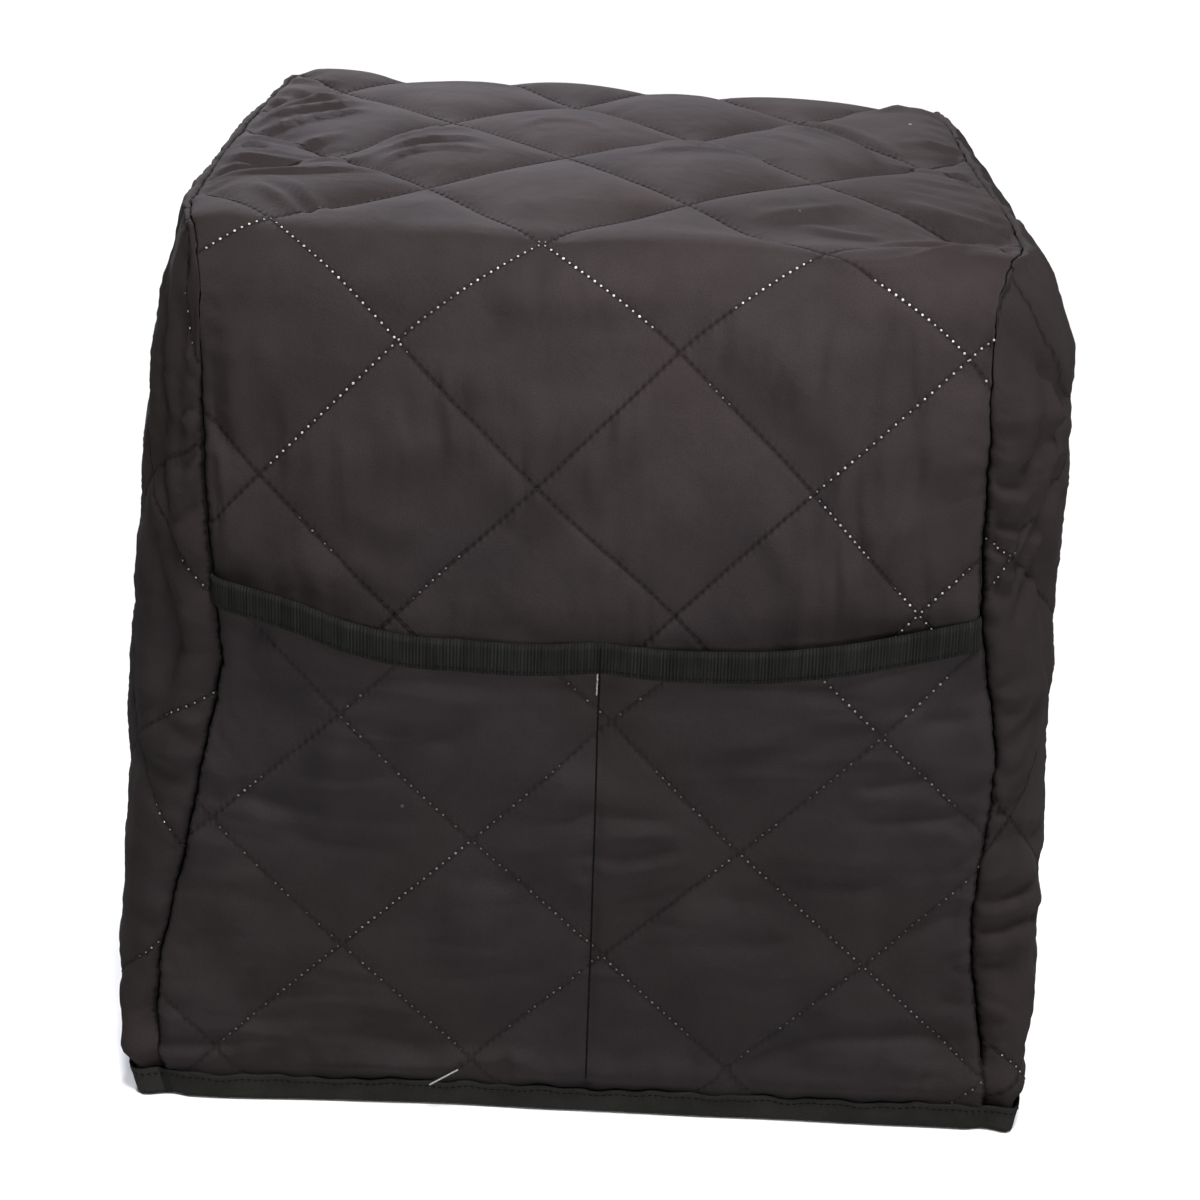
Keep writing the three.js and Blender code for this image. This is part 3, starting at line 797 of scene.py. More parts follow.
def over_tape(height, lift):
    """How far cloth bulges over the hem tape: a bell round its upper edge, cut off below it."""
    bell = np.exp(-(((height - HEM_HEIGHT - 6) / 6.5) ** 2))
    return lift * bell * smoothstep((height - HEM_HEIGHT + 1) / 4)


def strip_cloth(x, along, out=0.0):
    """A point of the sewn strip: the plain strip with its edges rolled in and wavering along the seams."""
    left, right = edges(along)
    to_left, to_right = np.maximum(x - left, 0), np.maximum(right - x, 0)
    dip = seam_dip("left", to_left, along) + seam_dip("right", to_right, along)
    grid = strip_point(x, along, out + dip)
    grid[..., 0] += (
        seam_wave("left", along) * np.exp(-to_left / 5) + seam_wave("right", along) * np.exp(-to_right / 5)
    )
    return grid


def closing_in(count):
    """Shares of the way in from a seam for a margin's columns, which crowd towards the seam."""
    return (np.arange(count) / count) ** 1.6


def spread_margins(x, left, right, count):
    """Places the outermost columns between the last whole one and the seams, closest together at the
    seams."""
    x = np.array(x)
    share = 1 - closing_in(count)[None, :]
    x[:, :count] = x[:, count, None] * (1 - share) + left[:, :count] * share
    share = share[:, ::-1]
    x[:, -count:] = x[:, -count - 1, None] * (1 - share) + right[:, -count:] * share
    return x


# The strip's grid: cells to a square of the quilting, its rows and columns, and the columns of each margin.
STRIP_SQUARES = 20
STRIP_ROWS = np.arange(-136, 224)
STRIP_COLUMNS = np.arange(-55, 72)
MARGIN = 10
# Where along the strip its top and its back begin to have their own slackness, where the top ends, and over
# how much that comes and goes.
TOP_FROM, TOP_TO, BACK_FROM, ZONE_FADE = 385, 625, 660, 25
# How far above the ribbon's upper edge the strip is still flattened by the pocket.
COVERING = 14


def strip_places():
    """Places (x, along) of the strip's grid, whose diagonals are the sewn lines, pulled about as they are,
    and its lattice coordinates. At the seams its columns crowd together, and the lines run on straight."""
    u, v = np.broadcast_arrays(STRIP_COLUMNS[None, :] / STRIP_SQUARES, STRIP_ROWS[:, None] / STRIP_SQUARES)
    pull = pulled(u, v)
    along = quilt_to_along(CROSSING_Q + SQUARE_ALONG * v + pull[..., 1])
    along = np.clip(along, SHORT, LENGTH - SHORT)
    left, right = edges(along)
    unbound = CROSSING_X + SQUARE_ACROSS * u + pull[..., 0]
    x = soft_least(unbound, right - BEND_FROM, BEND_WIDTH)
    x = -soft_least(-x, -(left + BEND_FROM), BEND_WIDTH)
    x = spread_margins(x, left + SEAM_GAP, right - SEAM_GAP, MARGIN)
    return x, along, np.stack([u + (x - unbound) / SQUARE_ACROSS, v], -1)


def mouth_at(x, along):
    """Height along the front of the pocket ribbon's upper edge."""
    left, right = edges(along)
    return read(MOUTH, "across", "along", np.clip((x - left) / (right - left), 0, 1))


def make_strip():
    """The long quilted strip: front, top and back in one piece."""
    x, along, lattice = strip_places()
    left, right = edges(along)
    to_left, to_right = x - left, right - x
    from_seam = np.minimum(to_left, to_right)
    covered = smoothstep((mouth_at(x, along) + COVERING - along) / COVERING)
    on_top = smoothstep((along - TOP_FROM) / ZONE_FADE) * smoothstep((TOP_TO - along) / ZONE_FADE)
    on_back = smoothstep((along - BACK_FROM) / ZONE_FADE)
    on_top_spare = 0.014 + 0.014 * np.clip(0.5 - x / 150, 0, 1.4)
    spare_up = 0.004 + on_top * on_top_spare + on_back * 0.008 + 0.03 * gathered(from_seam, 12)
    calm = 1 - 0.8 * covered
    sets = families(70, STRIP_FAMILIES)
    sets += pleats(STRIP_PLEATS, in_from("left")) + pleats(STRIP_PLEATS, in_from("right"), 1)
    folds = ridges(x, along, all_together(sets)) * clear_of(from_seam, 4) * (1 - covered)
    return Panel(
        "quilted_strip",
        strip_cloth(x, along),
        lattice,
        odd=0,
        folds=folds + over_tape(LENGTH - along, 2.0),
        hold=0.035 + 0.25 * np.maximum(covered, 1 - near_hem(along)),
        spare_up=spare_up * (1 - covered),
        spare_across=(0.006 + 0.006 * on_top) * (1 - covered),
        in_seam=np.maximum(in_seam("left", to_left, along), in_seam("right", to_right, along)),
        puff=(1.3 + 1.6 * on_top) * calm * clear_of(from_seam, 12),
        groove=(1.5 + 1.2 * on_top) * calm * clear_of(from_seam, 4),
        thick=(STITCHED, QUILT),
        seed=11,
    )


# How square the side panels swell from front to back, as the power of a rounded box: at the hem, above it,
# and the height from which it no longer changes.
SQUARE_AT_HEM, SQUARE_ABOVE, SQUARE_HEIGHT = 60, 5, 70
# Lengths of side panel cloth from its front seam, and the shares of the way back that they reach, on a
# panel of the usual swell and depth.
USUAL_SWELL, USUAL_DEPTH = 28.0, 300.0
SIDE_BACK = 0.5 - 0.5 * np.cos(np.linspace(0, np.pi, 4001))
SIDE_OUT = USUAL_SWELL * np.sqrt(1 - np.abs(2 * SIDE_BACK - 1) ** SQUARE_ABOVE)
SIDE_STEPS = np.hypot(np.diff(SIDE_OUT), np.diff(USUAL_DEPTH * SIDE_BACK))
SIDE_RUN = np.concatenate([[0], np.cumsum(SIDE_STEPS)])
SIDE_LENGTH = SIDE_RUN[-1]
SIDE_HEIGHT = FRONT_CORNER
# How far the hem's two front corners stand forward, how far from the seam, and the height it fades out by.
TOE = 8.0
TOE_RUN = 13.0
TOE_HEIGHT = 50.0
# The side panels' grid: cells to a square of the quilting, and the columns or rows of each margin.
SIDE_SQUARES = 22
SIDE_MARGIN = 9
# How much spare cloth is gathered in at each side panel's seams, how deep the short tucks at its upright
# seams are, and the seeds of its folds and of its cloth.
SIDE_GATHER = {"left": 0.03, "right": 0.05}
SIDE_TUCKS = {"left": -0.7, "right": -1.3}
SIDE_SEEDS = {"left": (40, 23), "right": (50, 31)}


def side_cloth(side, back, up):
    """A point of a sewn side panel: the two upright seams mixed from front to back, with the rest of the
    top seam's course added towards the top, swelling out between the seams as a rounded box, squarer at the
    hem, and rolled in at them. Also how far the point is from the nearest seam."""
    sign = -1 if side == "left" else 1
    back, up = np.broadcast_arrays(back, up)
    courses = [
        up * FRONT_CORNER,
        LENGTH - up * (LENGTH - BACK_CORNER),
        FRONT_CORNER + back * (BACK_CORNER - FRONT_CORNER),
    ]

    def seam(along):
        x = read(SEAMS, "along", side, along) + sign * SEAM_GAP + seam_wave(side, along)
        return strip_point(x, along)

    front, aft, over = [seam(np.clip(along, SHORT, LENGTH - SHORT)) for along in courses]
    ends = [seam(np.full(1, FRONT_CORNER))[0], seam(np.full(1, BACK_CORNER))[0]]
    b, u = back[..., None], up[..., None]
    grid = front * (1 - b) + aft * b + (over - ends[0] * (1 - b) - ends[1] * b) * u
    high = grid[..., 2]
    squareness = SQUARE_AT_HEM - (SQUARE_AT_HEM - SQUARE_ABOVE) * smoothstep(high / SQUARE_HEIGHT)
    rounding = np.sqrt(1 - np.abs(2 * back - 1) ** squareness) * np.sqrt(1 - up**24)
    grid[..., 0] += sign * read(SIDES, "height", side, high) * rounding
    run = np.interp(back, SIDE_BACK, SIDE_RUN)
    bell = np.exp(-(((run - TOE_RUN) / TOE_RUN) ** 2))
    grid[..., 1] -= TOE * bell * smoothstep(run / 6) * (1 - smoothstep(high / TOE_HEIGHT))
    reach = [run, SIDE_LENGTH - run, (1 - up) * SIDE_HEIGHT]
    total, weights, most = 0, 1e-9, 0
    for distance, along in zip(reach, courses):
        weight = rolled(distance)
        total = total + facing_out(along) * weight[..., None]
        weights, most = weights + weight, np.maximum(most, weight)
    deep = sum(rolled(distance) * seam_depth(side, along) for distance, along in zip(reach, courses))
    dip = most * deep / weights
    grid -= total / weights[..., None] * dip[..., None]
    return grid, np.minimum(np.minimum(reach[0], reach[1]), reach[2])


def side_places(side):
    """Runs of cloth from the front seam, and heights along the front seam, of a side panel's grid, and its
    lattice coordinates. Its upper front corner is pulled down."""
    offset_run, offset_high = SIDE_CROSSINGS[side]
    step_run, step_up = SQUARE_ACROSS / SIDE_SQUARES, SQUARE_ALONG / SIDE_SQUARES
    first, last = round(12 / step_run), round((SIDE_LENGTH - 12) / step_run)
    whole = np.arange(first, last + 1) * step_run
    shift = (SIDE_LENGTH - whole[0] - whole[-1]) / 2
    near = closing_in(SIDE_MARGIN) * (whole[0] + shift)
    run = np.concatenate([near, whole + shift, SIDE_LENGTH - near[::-1]])
    high = np.arange(round((SIDE_HEIGHT - 12) / step_up) + 1) * step_up
    high = np.concatenate([high, SIDE_HEIGHT - closing_in(SIDE_MARGIN)[::-1] * (SIDE_HEIGHT - high[-1])])
    run, high = np.broadcast_arrays(run[None, :], high[:, None])
    lattice = np.stack([(run - offset_run) / SQUARE_ACROSS, (high - offset_high) / SQUARE_ALONG], -1)
    place_run, place_high, reach, down = SIDE_PULLS[side]
    pulled_down = down * np.exp(-(((run - place_run) / reach) ** 2) - ((high - place_high) / reach) ** 2)
    high = high - pulled_down * smoothstep((SIDE_HEIGHT - high) / 25)
    if side == "left":
        run, high, lattice = run[:, ::-1], high[:, ::-1], lattice[:, ::-1]
    return run, high, lattice


def make_side(side):
    """A quilted side panel."""
    run, high, lattice = side_places(side)
    base, from_seam = side_cloth(side, np.interp(run, SIDE_RUN, SIDE_BACK), high / SIDE_HEIGHT)
    low = 1 - near_hem(high)
    at_front = lambda place, depth: (depth, place)
    at_back = lambda place, depth: (SIDE_LENGTH - depth, place)
    at_top = lambda place, depth: (place, SIDE_HEIGHT - depth)
    at_hem = lambda place, depth: (place, HEM_HEIGHT + 0.5 + depth)
    upright = [(0, 25, 350, 9, 11, SIDE_TUCKS[side], 2.6, 0.6), (2, 25, 350, 27, 30, 1.2, 4.5, 0.5)]
    top_tucks = (4, 20, SIDE_LENGTH - 20, 11, 12, -1.0, 2.8, 0.5)
    top_folds = (5, 20, SIDE_LENGTH - 20, 24, 36, 1.3, 4.5, 0.4)
    hem_tucks = (6, 8, SIDE_LENGTH - 8, 12, 12, -1.0, 2.8, 0.6)
    fold_seed, cloth_seed = SIDE_SEEDS[side]
    sets = families(72, SIDE_FAMILIES[side])
    sets += pleats(upright, at_front, fold_seed) + pleats(upright, at_back, fold_seed + 1)
    sets += pleats([top_tucks, top_folds], at_top, fold_seed) + pleats([hem_tucks], at_hem, fold_seed)
    folds = ridges(run, high, all_together(sets)) * clear_of(from_seam, 4)
    return Panel(
        "quilted_side_" + side,
        base,
        lattice,
        odd=0,
        folds=folds + over_tape(high, 3.6),
        hold=0.03 + 0.25 * low,
        spare_up=(0.008 + SIDE_GATHER[side] * gathered(from_seam, 9)) * (1 - low),
        spare_across=np.full(high.shape, 0.006),
        in_seam=in_seam(side, from_seam, high),
        puff=1.3 * clear_of(from_seam, 12),
        groove=1.5 * clear_of(from_seam, 4),
        thick=(STITCHED, QUILT),
        seed=cloth_seed,
    )


# ---------------------------------------------------------------- pocket and ribbon

# The pocket's grid: cells to a square of the quilting, its rows and columns, the columns of each margin,
# and the rows that close up to the mouth.
POCKET_SQUARES = 24
POCKET_ROWS = np.arange(-81, 21)
POCKET_COLUMNS = np.arange(-57, 101)
POCKET_MARGIN = 14
POCKET_TOP_ROWS = 12
# Where the pocket is sewn down across, and how much of its cloth lies flat under the ribbon and at the hem.
POCKET_SEAM_X = 1.2
FLAT_EDGE = 16


def stand_off(x, along):
    """How far the pocket's inner face stands off the strip: a little at its seams, and two lobes that open
    upwards on either side of the middle seam."""
    left, right = edges(along)
    across = np.clip((x - left) / (right - left), 0, 1)
    opened = smoothstep((along - HEM_HEIGHT) / (mouth_at(x, along) - FLAT_EDGE - HEM_HEIGHT))
    lobes = (np.sin(2 * np.pi * across) ** 2 + 0.01) ** 0.3 - 0.01**0.3
    return 0.5 + (1.3 + POCKET_PUFF * lobes) * opened


def pocket_places():
    """Places (x, along) of the pocket's grid, whose margins spread to the seams and whose top rows close up
    to the mouth."""
    u, v = np.broadcast_arrays(POCKET_COLUMNS[None, :], POCKET_ROWS[:, None])
    unbound = POCKET_CROSSING_X + SQUARE_ACROSS * (u / POCKET_SQUARES)
    along = POCKET_CROSSING_ALONG + POCKET_SQUARE_ALONG * (v / POCKET_SQUARES)
    share = (np.arange(1, POCKET_TOP_ROWS + 1) / POCKET_TOP_ROWS)[:, None]
    for _ in range(3):
        left, right = edges(along)
        x = spread_margins(unbound, left + SEAM_GAP, right - SEAM_GAP, POCKET_MARGIN)
        top = mouth_at(x[-1], along[-1]) - 1.3
        last = along[-POCKET_TOP_ROWS - 1]
        along = np.concatenate([along[:-POCKET_TOP_ROWS], last * (1 - share) + top * share])
    return x, along


def pocket_lattice(x, along):
    """Lattice coordinates of places on the pocket."""
    return (x - POCKET_CROSSING_X) / SQUARE_ACROSS, (along - POCKET_CROSSING_ALONG) / POCKET_SQUARE_ALONG


def make_pocket():
    """The full-width front pocket."""
    x, along = pocket_places()
    left, right = edges(along)
    to_left, to_right = x - left, right - x
    from_seam = np.minimum(to_left, to_right)
    middle = np.abs(x - (left + right) / 2)
    under_ribbon = smoothstep((FLAT_EDGE - (mouth_at(x, along) - along)) / 4)
    still = np.maximum(under_ribbon, smoothstep((FLAT_EDGE - along) / 5))
    gather = gathered(from_seam, 12) + 0.8 * np.exp(-middle / 30)
    calm = (1 - still) * clear_of(from_seam, 8) * clear_of(middle, 8)
    at_hem = lambda place, depth: (place, HEM_HEIGHT + 0.5 + depth)
    sets = families(71, POCKET_FAMILIES)
    for edge, points in (("left", in_from("left")), ("right", in_from("right")), ("hem", at_hem)):
        sets += pleats(POCKET_PLEATS[edge], points)
    sewn_down = np.exp(-np.abs(x - POCKET_SEAM_X) / 2.2) * (1 - under_ribbon)
    return Panel(
        "quilted_pocket",
        strip_cloth(x, along, stand_off(x, along) + POCKET_CLOTH),
        np.stack(pocket_lattice(x, along), -1),
        odd=1,
        folds=ridges(x, along, all_together(sets)) * calm + over_tape(along, 2.6) - 1.6 * sewn_down,
        hold=np.maximum(0.035, 0.6 * np.maximum(still, np.exp(-middle / 3))),
        spare_up=(0.006 + 0.03 * gather) * (1 - still),
        spare_across=0.01 * (1 - still),
        in_seam=np.maximum(in_seam("left", to_left, along), in_seam("right", to_right, along)),
        puff=0.9 * calm,
        groove=1.1 * calm,
        thick=(POCKET_STITCHED, POCKET_CLOTH),
        seed=47,
    )


# The ribbon's ribs: their spacing, and how many cuts of the mesh there are to each.
RIB = 1.5
RIB_CUTS = 4
# The ribbon's length and thickness, and how far its two faces stand off the pocket's inner face.
RIBBON_RUN = 318
RIBBON_THICK = 1.0
RIBBON_FAR = POCKET_CLOTH + 1.3
RIBBON_NEAR = -1.3


def make_ribbon():
    """The ribbed ribbon folded over the pocket's upper edge: a folded section, closed, carried from seam to
    seam along the mouth, with its ribs running down both legs."""
    count = int(RIBBON_RUN / RIB * RIB_CUTS)
    share = np.linspace(0, 1, count + 1)
    mouth = read(MOUTH, "across", "along", share)
    left, right = edges(mouth)
    x = (left + SEAM_GAP) * (1 - share) + (right - SEAM_GAP) * share
    legs = np.linspace(-RIBBON_WIDTH, -1.6, 11)
    turn = np.linspace(0, np.pi, 9)[1:-1]
    middle, half = (RIBBON_FAR + RIBBON_NEAR) / 2, (RIBBON_FAR - RIBBON_NEAR) / 2
    inner_half = half - RIBBON_THICK
    section = [(RIBBON_FAR, a) for a in legs]
    section += [(middle + half * math.cos(t), -1.5 + 1.5 * math.sin(t)) for t in turn]
    section += [(RIBBON_NEAR, a) for a in legs[::-1]]
    section += [(RIBBON_NEAR + RIBBON_THICK, a) for a in legs]
    section += [(middle - inner_half * math.cos(t), -1.5 + 0.6 * math.sin(t)) for t in turn]
    section += [(RIBBON_FAR - RIBBON_THICK, a) for a in legs[::-1]]
    section = np.array(section)
    outside = np.arange(len(section)) < 2 * len(legs) + len(turn)
    phase = 2 * np.pi * np.arange(count + 1) / RIB_CUTS
    rib = 0.2 * np.cos(phase) * np.random.default_rng(8).uniform(0.5, 1.4, count + 1)
    swell = rib[:, None] * (outside * np.sign(section[:, 0] - middle))[None, :]
    along = mouth[:, None] + section[None, :, 1]
    out = stand_off(x[:, None], along) + section[None, :, 0] + swell
    grid = strip_cloth(np.broadcast_to(x[:, None], along.shape), along, out)
    quads = grid_faces(*along.shape, wrap=True)[:, ::-1]
    sides = len(section)
    number = np.arange(len(x) * sides).reshape(len(x), sides)
    caps = []
    for row in (number[0], number[-1][::-1]):
        one, two = row[: sides // 2], row[sides // 2 :][::-1]
        caps.append(np.stack([one[:-1], one[1:], two[1:], two[:-1]], -1))
    run = np.concatenate([[0], np.cumsum(np.linalg.norm(np.diff(grid[:, 0], axis=0), axis=-1))])
    across = np.concatenate([[0], np.cumsum(np.linalg.norm(np.diff(section, axis=0), axis=-1))])
    return new_mesh(
        "pocket_edge_ribbon",
        grid.reshape(-1, 3),
        quads=np.concatenate([quads] + caps),
        maps={"cloth": run_and_across(run, across)},
    )


# ---------------------------------------------------------------- hem tape

# How many points of the tape's path there are along each of the cover's four sides.
HEM_COUNT = 150
# How far the tape's two faces stand off the cloth's outline, and the tape's own thickness, also as a share
# of the way between the faces.
TAPE_OUTER, TAPE_INNER = 1.7, -5.7
TAPE_THICK, TAPE_SHARE = 1.2, 0.162


def hem_outline(z):
    """The cover's outline just above the floor at one height: front, right side, back and left side."""
    rise = max(z - CLOTH_FLOOR, 0.0)
    share = (np.arange(HEM_COUNT) + 0.5) / HEM_COUNT
    back = np.interp(np.linspace(0, SIDE_LENGTH, HEM_COUNT + 2)[1:-1], SIDE_RUN, SIDE_BACK)
    up = np.full(HEM_COUNT, rise / FRONT_CORNER)

    def strip_hem(along, share):
        left, right = edges(np.array([along]))
        return strip_cloth(left + (right - left) * share, np.full(HEM_COUNT, along))

    lines = [
        strip_hem(rise, share),
        side_cloth("right", back, up)[0],
        strip_hem(LENGTH - rise, 1 - share),
        side_cloth("left", back[::-1], up)[0],
    ]
    return np.concatenate(lines)[:, :2]


def evened(line, passes):
    """A closed line after so many passes of averaging each point with its two neighbours."""
    for _ in range(passes):
        line = 0.5 * line + 0.25 * (np.roll(line, 1, 0) + np.roll(line, -1, 0))
    return line


def make_hem():
    """The tape folded round the hem: a folded section, closed, carried once round the cover's outline."""
    low, high = evened(hem_outline(CLOTH_FLOOR), 2), evened(hem_outline(HEM_HEIGHT), 2)
    run = np.roll(low, -1, 0) - np.roll(low, 1, 0)
    facing = unit(np.stack([run[:, 1], -run[:, 0]], -1))
    for _ in range(4):
        facing = unit(evened(facing, 1))
    index = np.arange(len(low))
    at_front = smoothstep((index + 3) / 6) * smoothstep((HEM_COUNT + 2 - index) / 6)
    at_front = np.maximum(at_front, smoothstep((index - len(low) + 3) / 6))
    waver = 0.35 * np.sin(index * 0.21) + 0.3 * np.sin(index * 0.083 + 1)
    legs = np.linspace(HEM_HEIGHT - 0.5, 0.9, 7)
    section = [(1, HEM_HEIGHT)] + [(1, z) for z in legs]
    section += [(0.85, 0.2), (0.5, 0.05), (0.15, 0.2)]
    section += [(0, z) for z in legs[::-1]] + [(0, HEM_HEIGHT)]
    section += [(TAPE_SHARE, z) for z in (HEM_HEIGHT, *legs[:-1], CLOTH_FLOOR)]
    section += [(1 - TAPE_SHARE, z) for z in (CLOTH_FLOOR, *legs[:-1][::-1], HEM_HEIGHT)]
    section = np.array(section)
    share, z = section[:, 0][None, :], section[:, 1][None, :]
    far = (TAPE_OUTER + 3.5 * at_front)[:, None] + waver[:, None] * 0.5
    from_outer = far - (1 - share) / TAPE_SHARE * TAPE_THICK
    from_inner = TAPE_INNER + share / TAPE_SHARE * TAPE_THICK
    between = TAPE_INNER + (far - TAPE_INNER) * share
    out = np.select([share > 0.8, share < 0.2], [from_outer, from_inner], between)
    rise = (z - CLOTH_FLOOR) / (HEM_HEIGHT - CLOTH_FLOOR)
    plan = low[:, None] * (1 - rise[..., None]) + high[:, None] * rise[..., None]
    plan = plan + facing[:, None] * out[..., None]
    wavy = 0.6 * np.sin(index * 0.37 + 1.5 * np.sin(index * 0.11)) + 0.4 * np.sin(index * 0.91 + 2)
    height = z + wavy[:, None] * smoothstep((z - 5) / 6)
    grid = np.concatenate([plan, height[..., None]], -1)
    quads = grid_faces(*out.shape, wrap=True)
    closing = np.arange(out.shape[1])
    last = (len(low) - 1) * out.shape[1]
    join = np.stack([last + closing, last + np.roll(closing, -1), np.roll(closing, -1), closing], -1)
    length = np.concatenate([[0], np.cumsum(np.linalg.norm(np.diff(low, axis=0), axis=-1))])
    across = np.concatenate([[0], np.cumsum(np.hypot(np.diff(section[:, 0]) * 7, np.diff(section[:, 1])))])
    maps = {"cloth": run_and_across(length, across)}
    return new_mesh("hem_binding", grid.reshape(-1, 3), None, np.concatenate([quads, join]), maps), grid


# ---------------------------------------------------------------- stitches

# How far on each stitch of the quilting starts from the last one, how far its thread and its needle hole's
# lining stand off the cloth, and the paleness below which a hole doesn't show.
PITCH = 3.6
THREAD_LIFT, HOLE_LIFT = 0.02, 0.25
TOO_DARK = 0.08


def bead(length, radius, sides=5, stations=3):
    """Points and triangles of a capsule along x: rings on a half circle's stations, with a point at each
    end."""
    angle = np.linspace(0, np.pi, stations + 2)[1:-1]
    x = -np.cos(angle) * radius + np.sign(-np.cos(angle).round(6)) * (length / 2 - radius)
    ring = np.linspace(0, 2 * np.pi, sides, endpoint=False)
    wide = np.sin(angle)[:, None] * radius
    rings = np.stack(np.broadcast_arrays(x[:, None], wide * np.cos(ring), wide * np.sin(ring)), -1)
    rings = rings.reshape(-1, 3)
    points = np.concatenate([rings, [[-length / 2, 0, 0], [length / 2, 0, 0]]])
    quads = grid_faces(stations, sides, wrap=True)
    first, onward = np.arange(sides), np.roll(np.arange(sides), -1)
    start, end, top = np.full(sides, len(rings)), np.full(sides, len(rings) + 1), (stations - 1) * sides
    near_cap, far_cap = np.stack([onward, first, start], -1), np.stack([first + top, onward + top, end], -1)
    return points, np.concatenate([quads[:, [0, 1, 2]], quads[:, [0, 2, 3]], near_cap, far_cap])


def scattered(shape, places, ways, outs, sizes=1.0):
    """Copies of one shape, each with its x along its way and its z outwards, joined as one set of
    triangles."""
    points, triangles = shape
    ways = unit(ways - outs * (ways * outs).sum(-1, keepdims=True))
    axes = (ways, np.cross(outs, ways), outs)
    turned = sum(points[None, :, k, None] * axes[k][:, None] for k in range(3))
    sizes = np.broadcast_to(sizes, len(places))[:, None, None]
    copies = turned * sizes + places[:, None]
    offset = (np.arange(len(places)) * len(points))[:, None, None]
    return copies.reshape(-1, 3), (triangles[None] + offset).reshape(-1, 3)


THREAD = bead(2.6, 0.27)
round_hole = bead(1.0, 0.5, 7)
HOLE = (round_hole[0] * np.array([1, 1, 0.45]), round_hole[1])
SEAM_THREAD = bead(2.0, 0.26)
TACK_THREAD = bead(2.4, 0.42)
CREASE_THREAD = bead(3.2, 0.5)
LOOSE_THREAD = bead(1.4, 0.4)

# Stretches of each piece's sewn lines whose needle holes show pale: the line's sign and number, where it
# starts and ends by its row of squares, how many of its holes show, and how pale they are.
HOLE_COLUMNS = "sign number low high share pale"
STRIP_HOLES = table(HOLE_COLUMNS, [
    (1, -2, -1.1, -0.02, 1, 0.8), (-1, 0, -1.98, -0.95, 1, 0.75), (-1, 0, -0.66, 0.02, 1, 0.75),
    (-1, 0, -0.98, -0.6, 1, 0.45), (-1, -2, -0.5, -0.02, 1, 0.9), (1, 0, -0.85, -0.02, 1, 0.9),
    (-1, 2, -0.66, -0.1, 1, 0.75), (1, 2, -1.05, -0.3, 1, 0.95), (1, 2, -1.24, -0.98, 0.7, 0.6),
    (-1, 4, -1.95, -0.8, 1, 0.7), (-1, 4, -2.1, -1.7, 0.6, 0.4), (1, 0, -2.56, -2.03, 1, 0.6),
    (1, 0, -3.2, -2.8, 1, 0.75), (-1, 6, -3.2, -2.7, 1, 0.6), (-1, 6, -2.75, -2.45, 0.4, 0.3),
    (-1, 2, -2.9, -2.45, 0.7, 0.35), (1, -4, -2.6, -2.3, 0.7, 0.35), (1, 0, -1.4, -1.2, 0.6, 0.3),
])
POCKET_HOLES = table(HOLE_COLUMNS, [
    (1, 3, 0, 0.5, 1, 0.8), (-1, 3, 0.05, 0.5, 0.9, 0.55), (1, 3, -0.65, 0, 0.9, 0.5),
    (-1, 3, -1, 0, 0.7, 0.3), (1, 1, -1, -0.35, 0.8, 0.35), (-1, 3, -1.25, -1, 0.9, 0.5),
    (1, 1, -2, -1, 0.9, 0.5), (-1, 5, -2, -1, 0.7, 0.35), (1, 1, -2.9, -2, 0.9, 0.45),
    (-1, 7, -3.3, -3, 0.9, 0.45), (-1, 5, -3, -2, 0.7, 0.3), (1, -1, -2.75, -2, 0.9, 0.45),
    (1, 1, 0, 0.45, 0.5, 0.35), (-1, 1, 0, 0.3, 0.5, 0.35), (-1, 1, -1, -0.35, 0.6, 0.35),
    (1, -1, -1, 0, 0.7, 0.35), (-1, 1, -2, -1, 1, 0.65), (1, -1, -2, -1, 0.9, 0.4),
    (-1, 3, -2.8, -2, 0.7, 0.35), (-1, 1, -3, -2, 0.8, 0.4), (1, -3, -3, -2, 0.8, 0.4),
    (1, -3, -2, -1, 0.6, 0.3), (-1, -1, -0.85, -0.6, 1, 0.7), (-1, -1, 0, 0.25, 0.4, 0.3),
])
SIDE_HOLES = {
    "left": table(HOLE_COLUMNS, [
        (-1, -2, 1.46, 1.6, 1, 1), (-1, 0, -0.66, -0.42, 1, 0.5), (1, -2, -1.7, -1.38, 1, 0.55),
        (1, -4, -3.6, -3.3, 1, 0.4), (-1, 2, -2.54, -2.38, 1, 0.8),
    ]),
    "right": table(HOLE_COLUMNS, [
        (1, 0, -0.02, 0.2, 1, 0.7), (-1, 0, -0.24, -0.04, 1, 0.7), (1, -4, -4.15, -3.85, 1, 0.6),
    ]),
}


def shown(places, holes, seed):
    """How pale each stitch's hole shows: nought off the listed stretches, and on them the stretch's own
    paleness, less at its ends and for some holes than others, with the rest of its share dropped."""
    pale = np.zeros(len(places))
    dice = np.random.default_rng(seed).random((2, len(places)))
    for k in range(len(holes["sign"])):
        number = places[:, 0] + holes["sign"][k] * places[:, 1]
        on_line = np.abs(number - holes["number"][k]) < 0.01
        from_end = np.minimum(places[:, 1] - holes["low"][k], holes["high"][k] - places[:, 1])
        here = on_line & (from_end > 0) & (dice[1] < holes["share"][k])
        paleness = holes["pale"][k] * (0.55 + 0.45 * dice[0]) * smoothstep(0.3 + from_end / 0.12)
        pale = np.maximum(pale, paleness * here)
    return pale


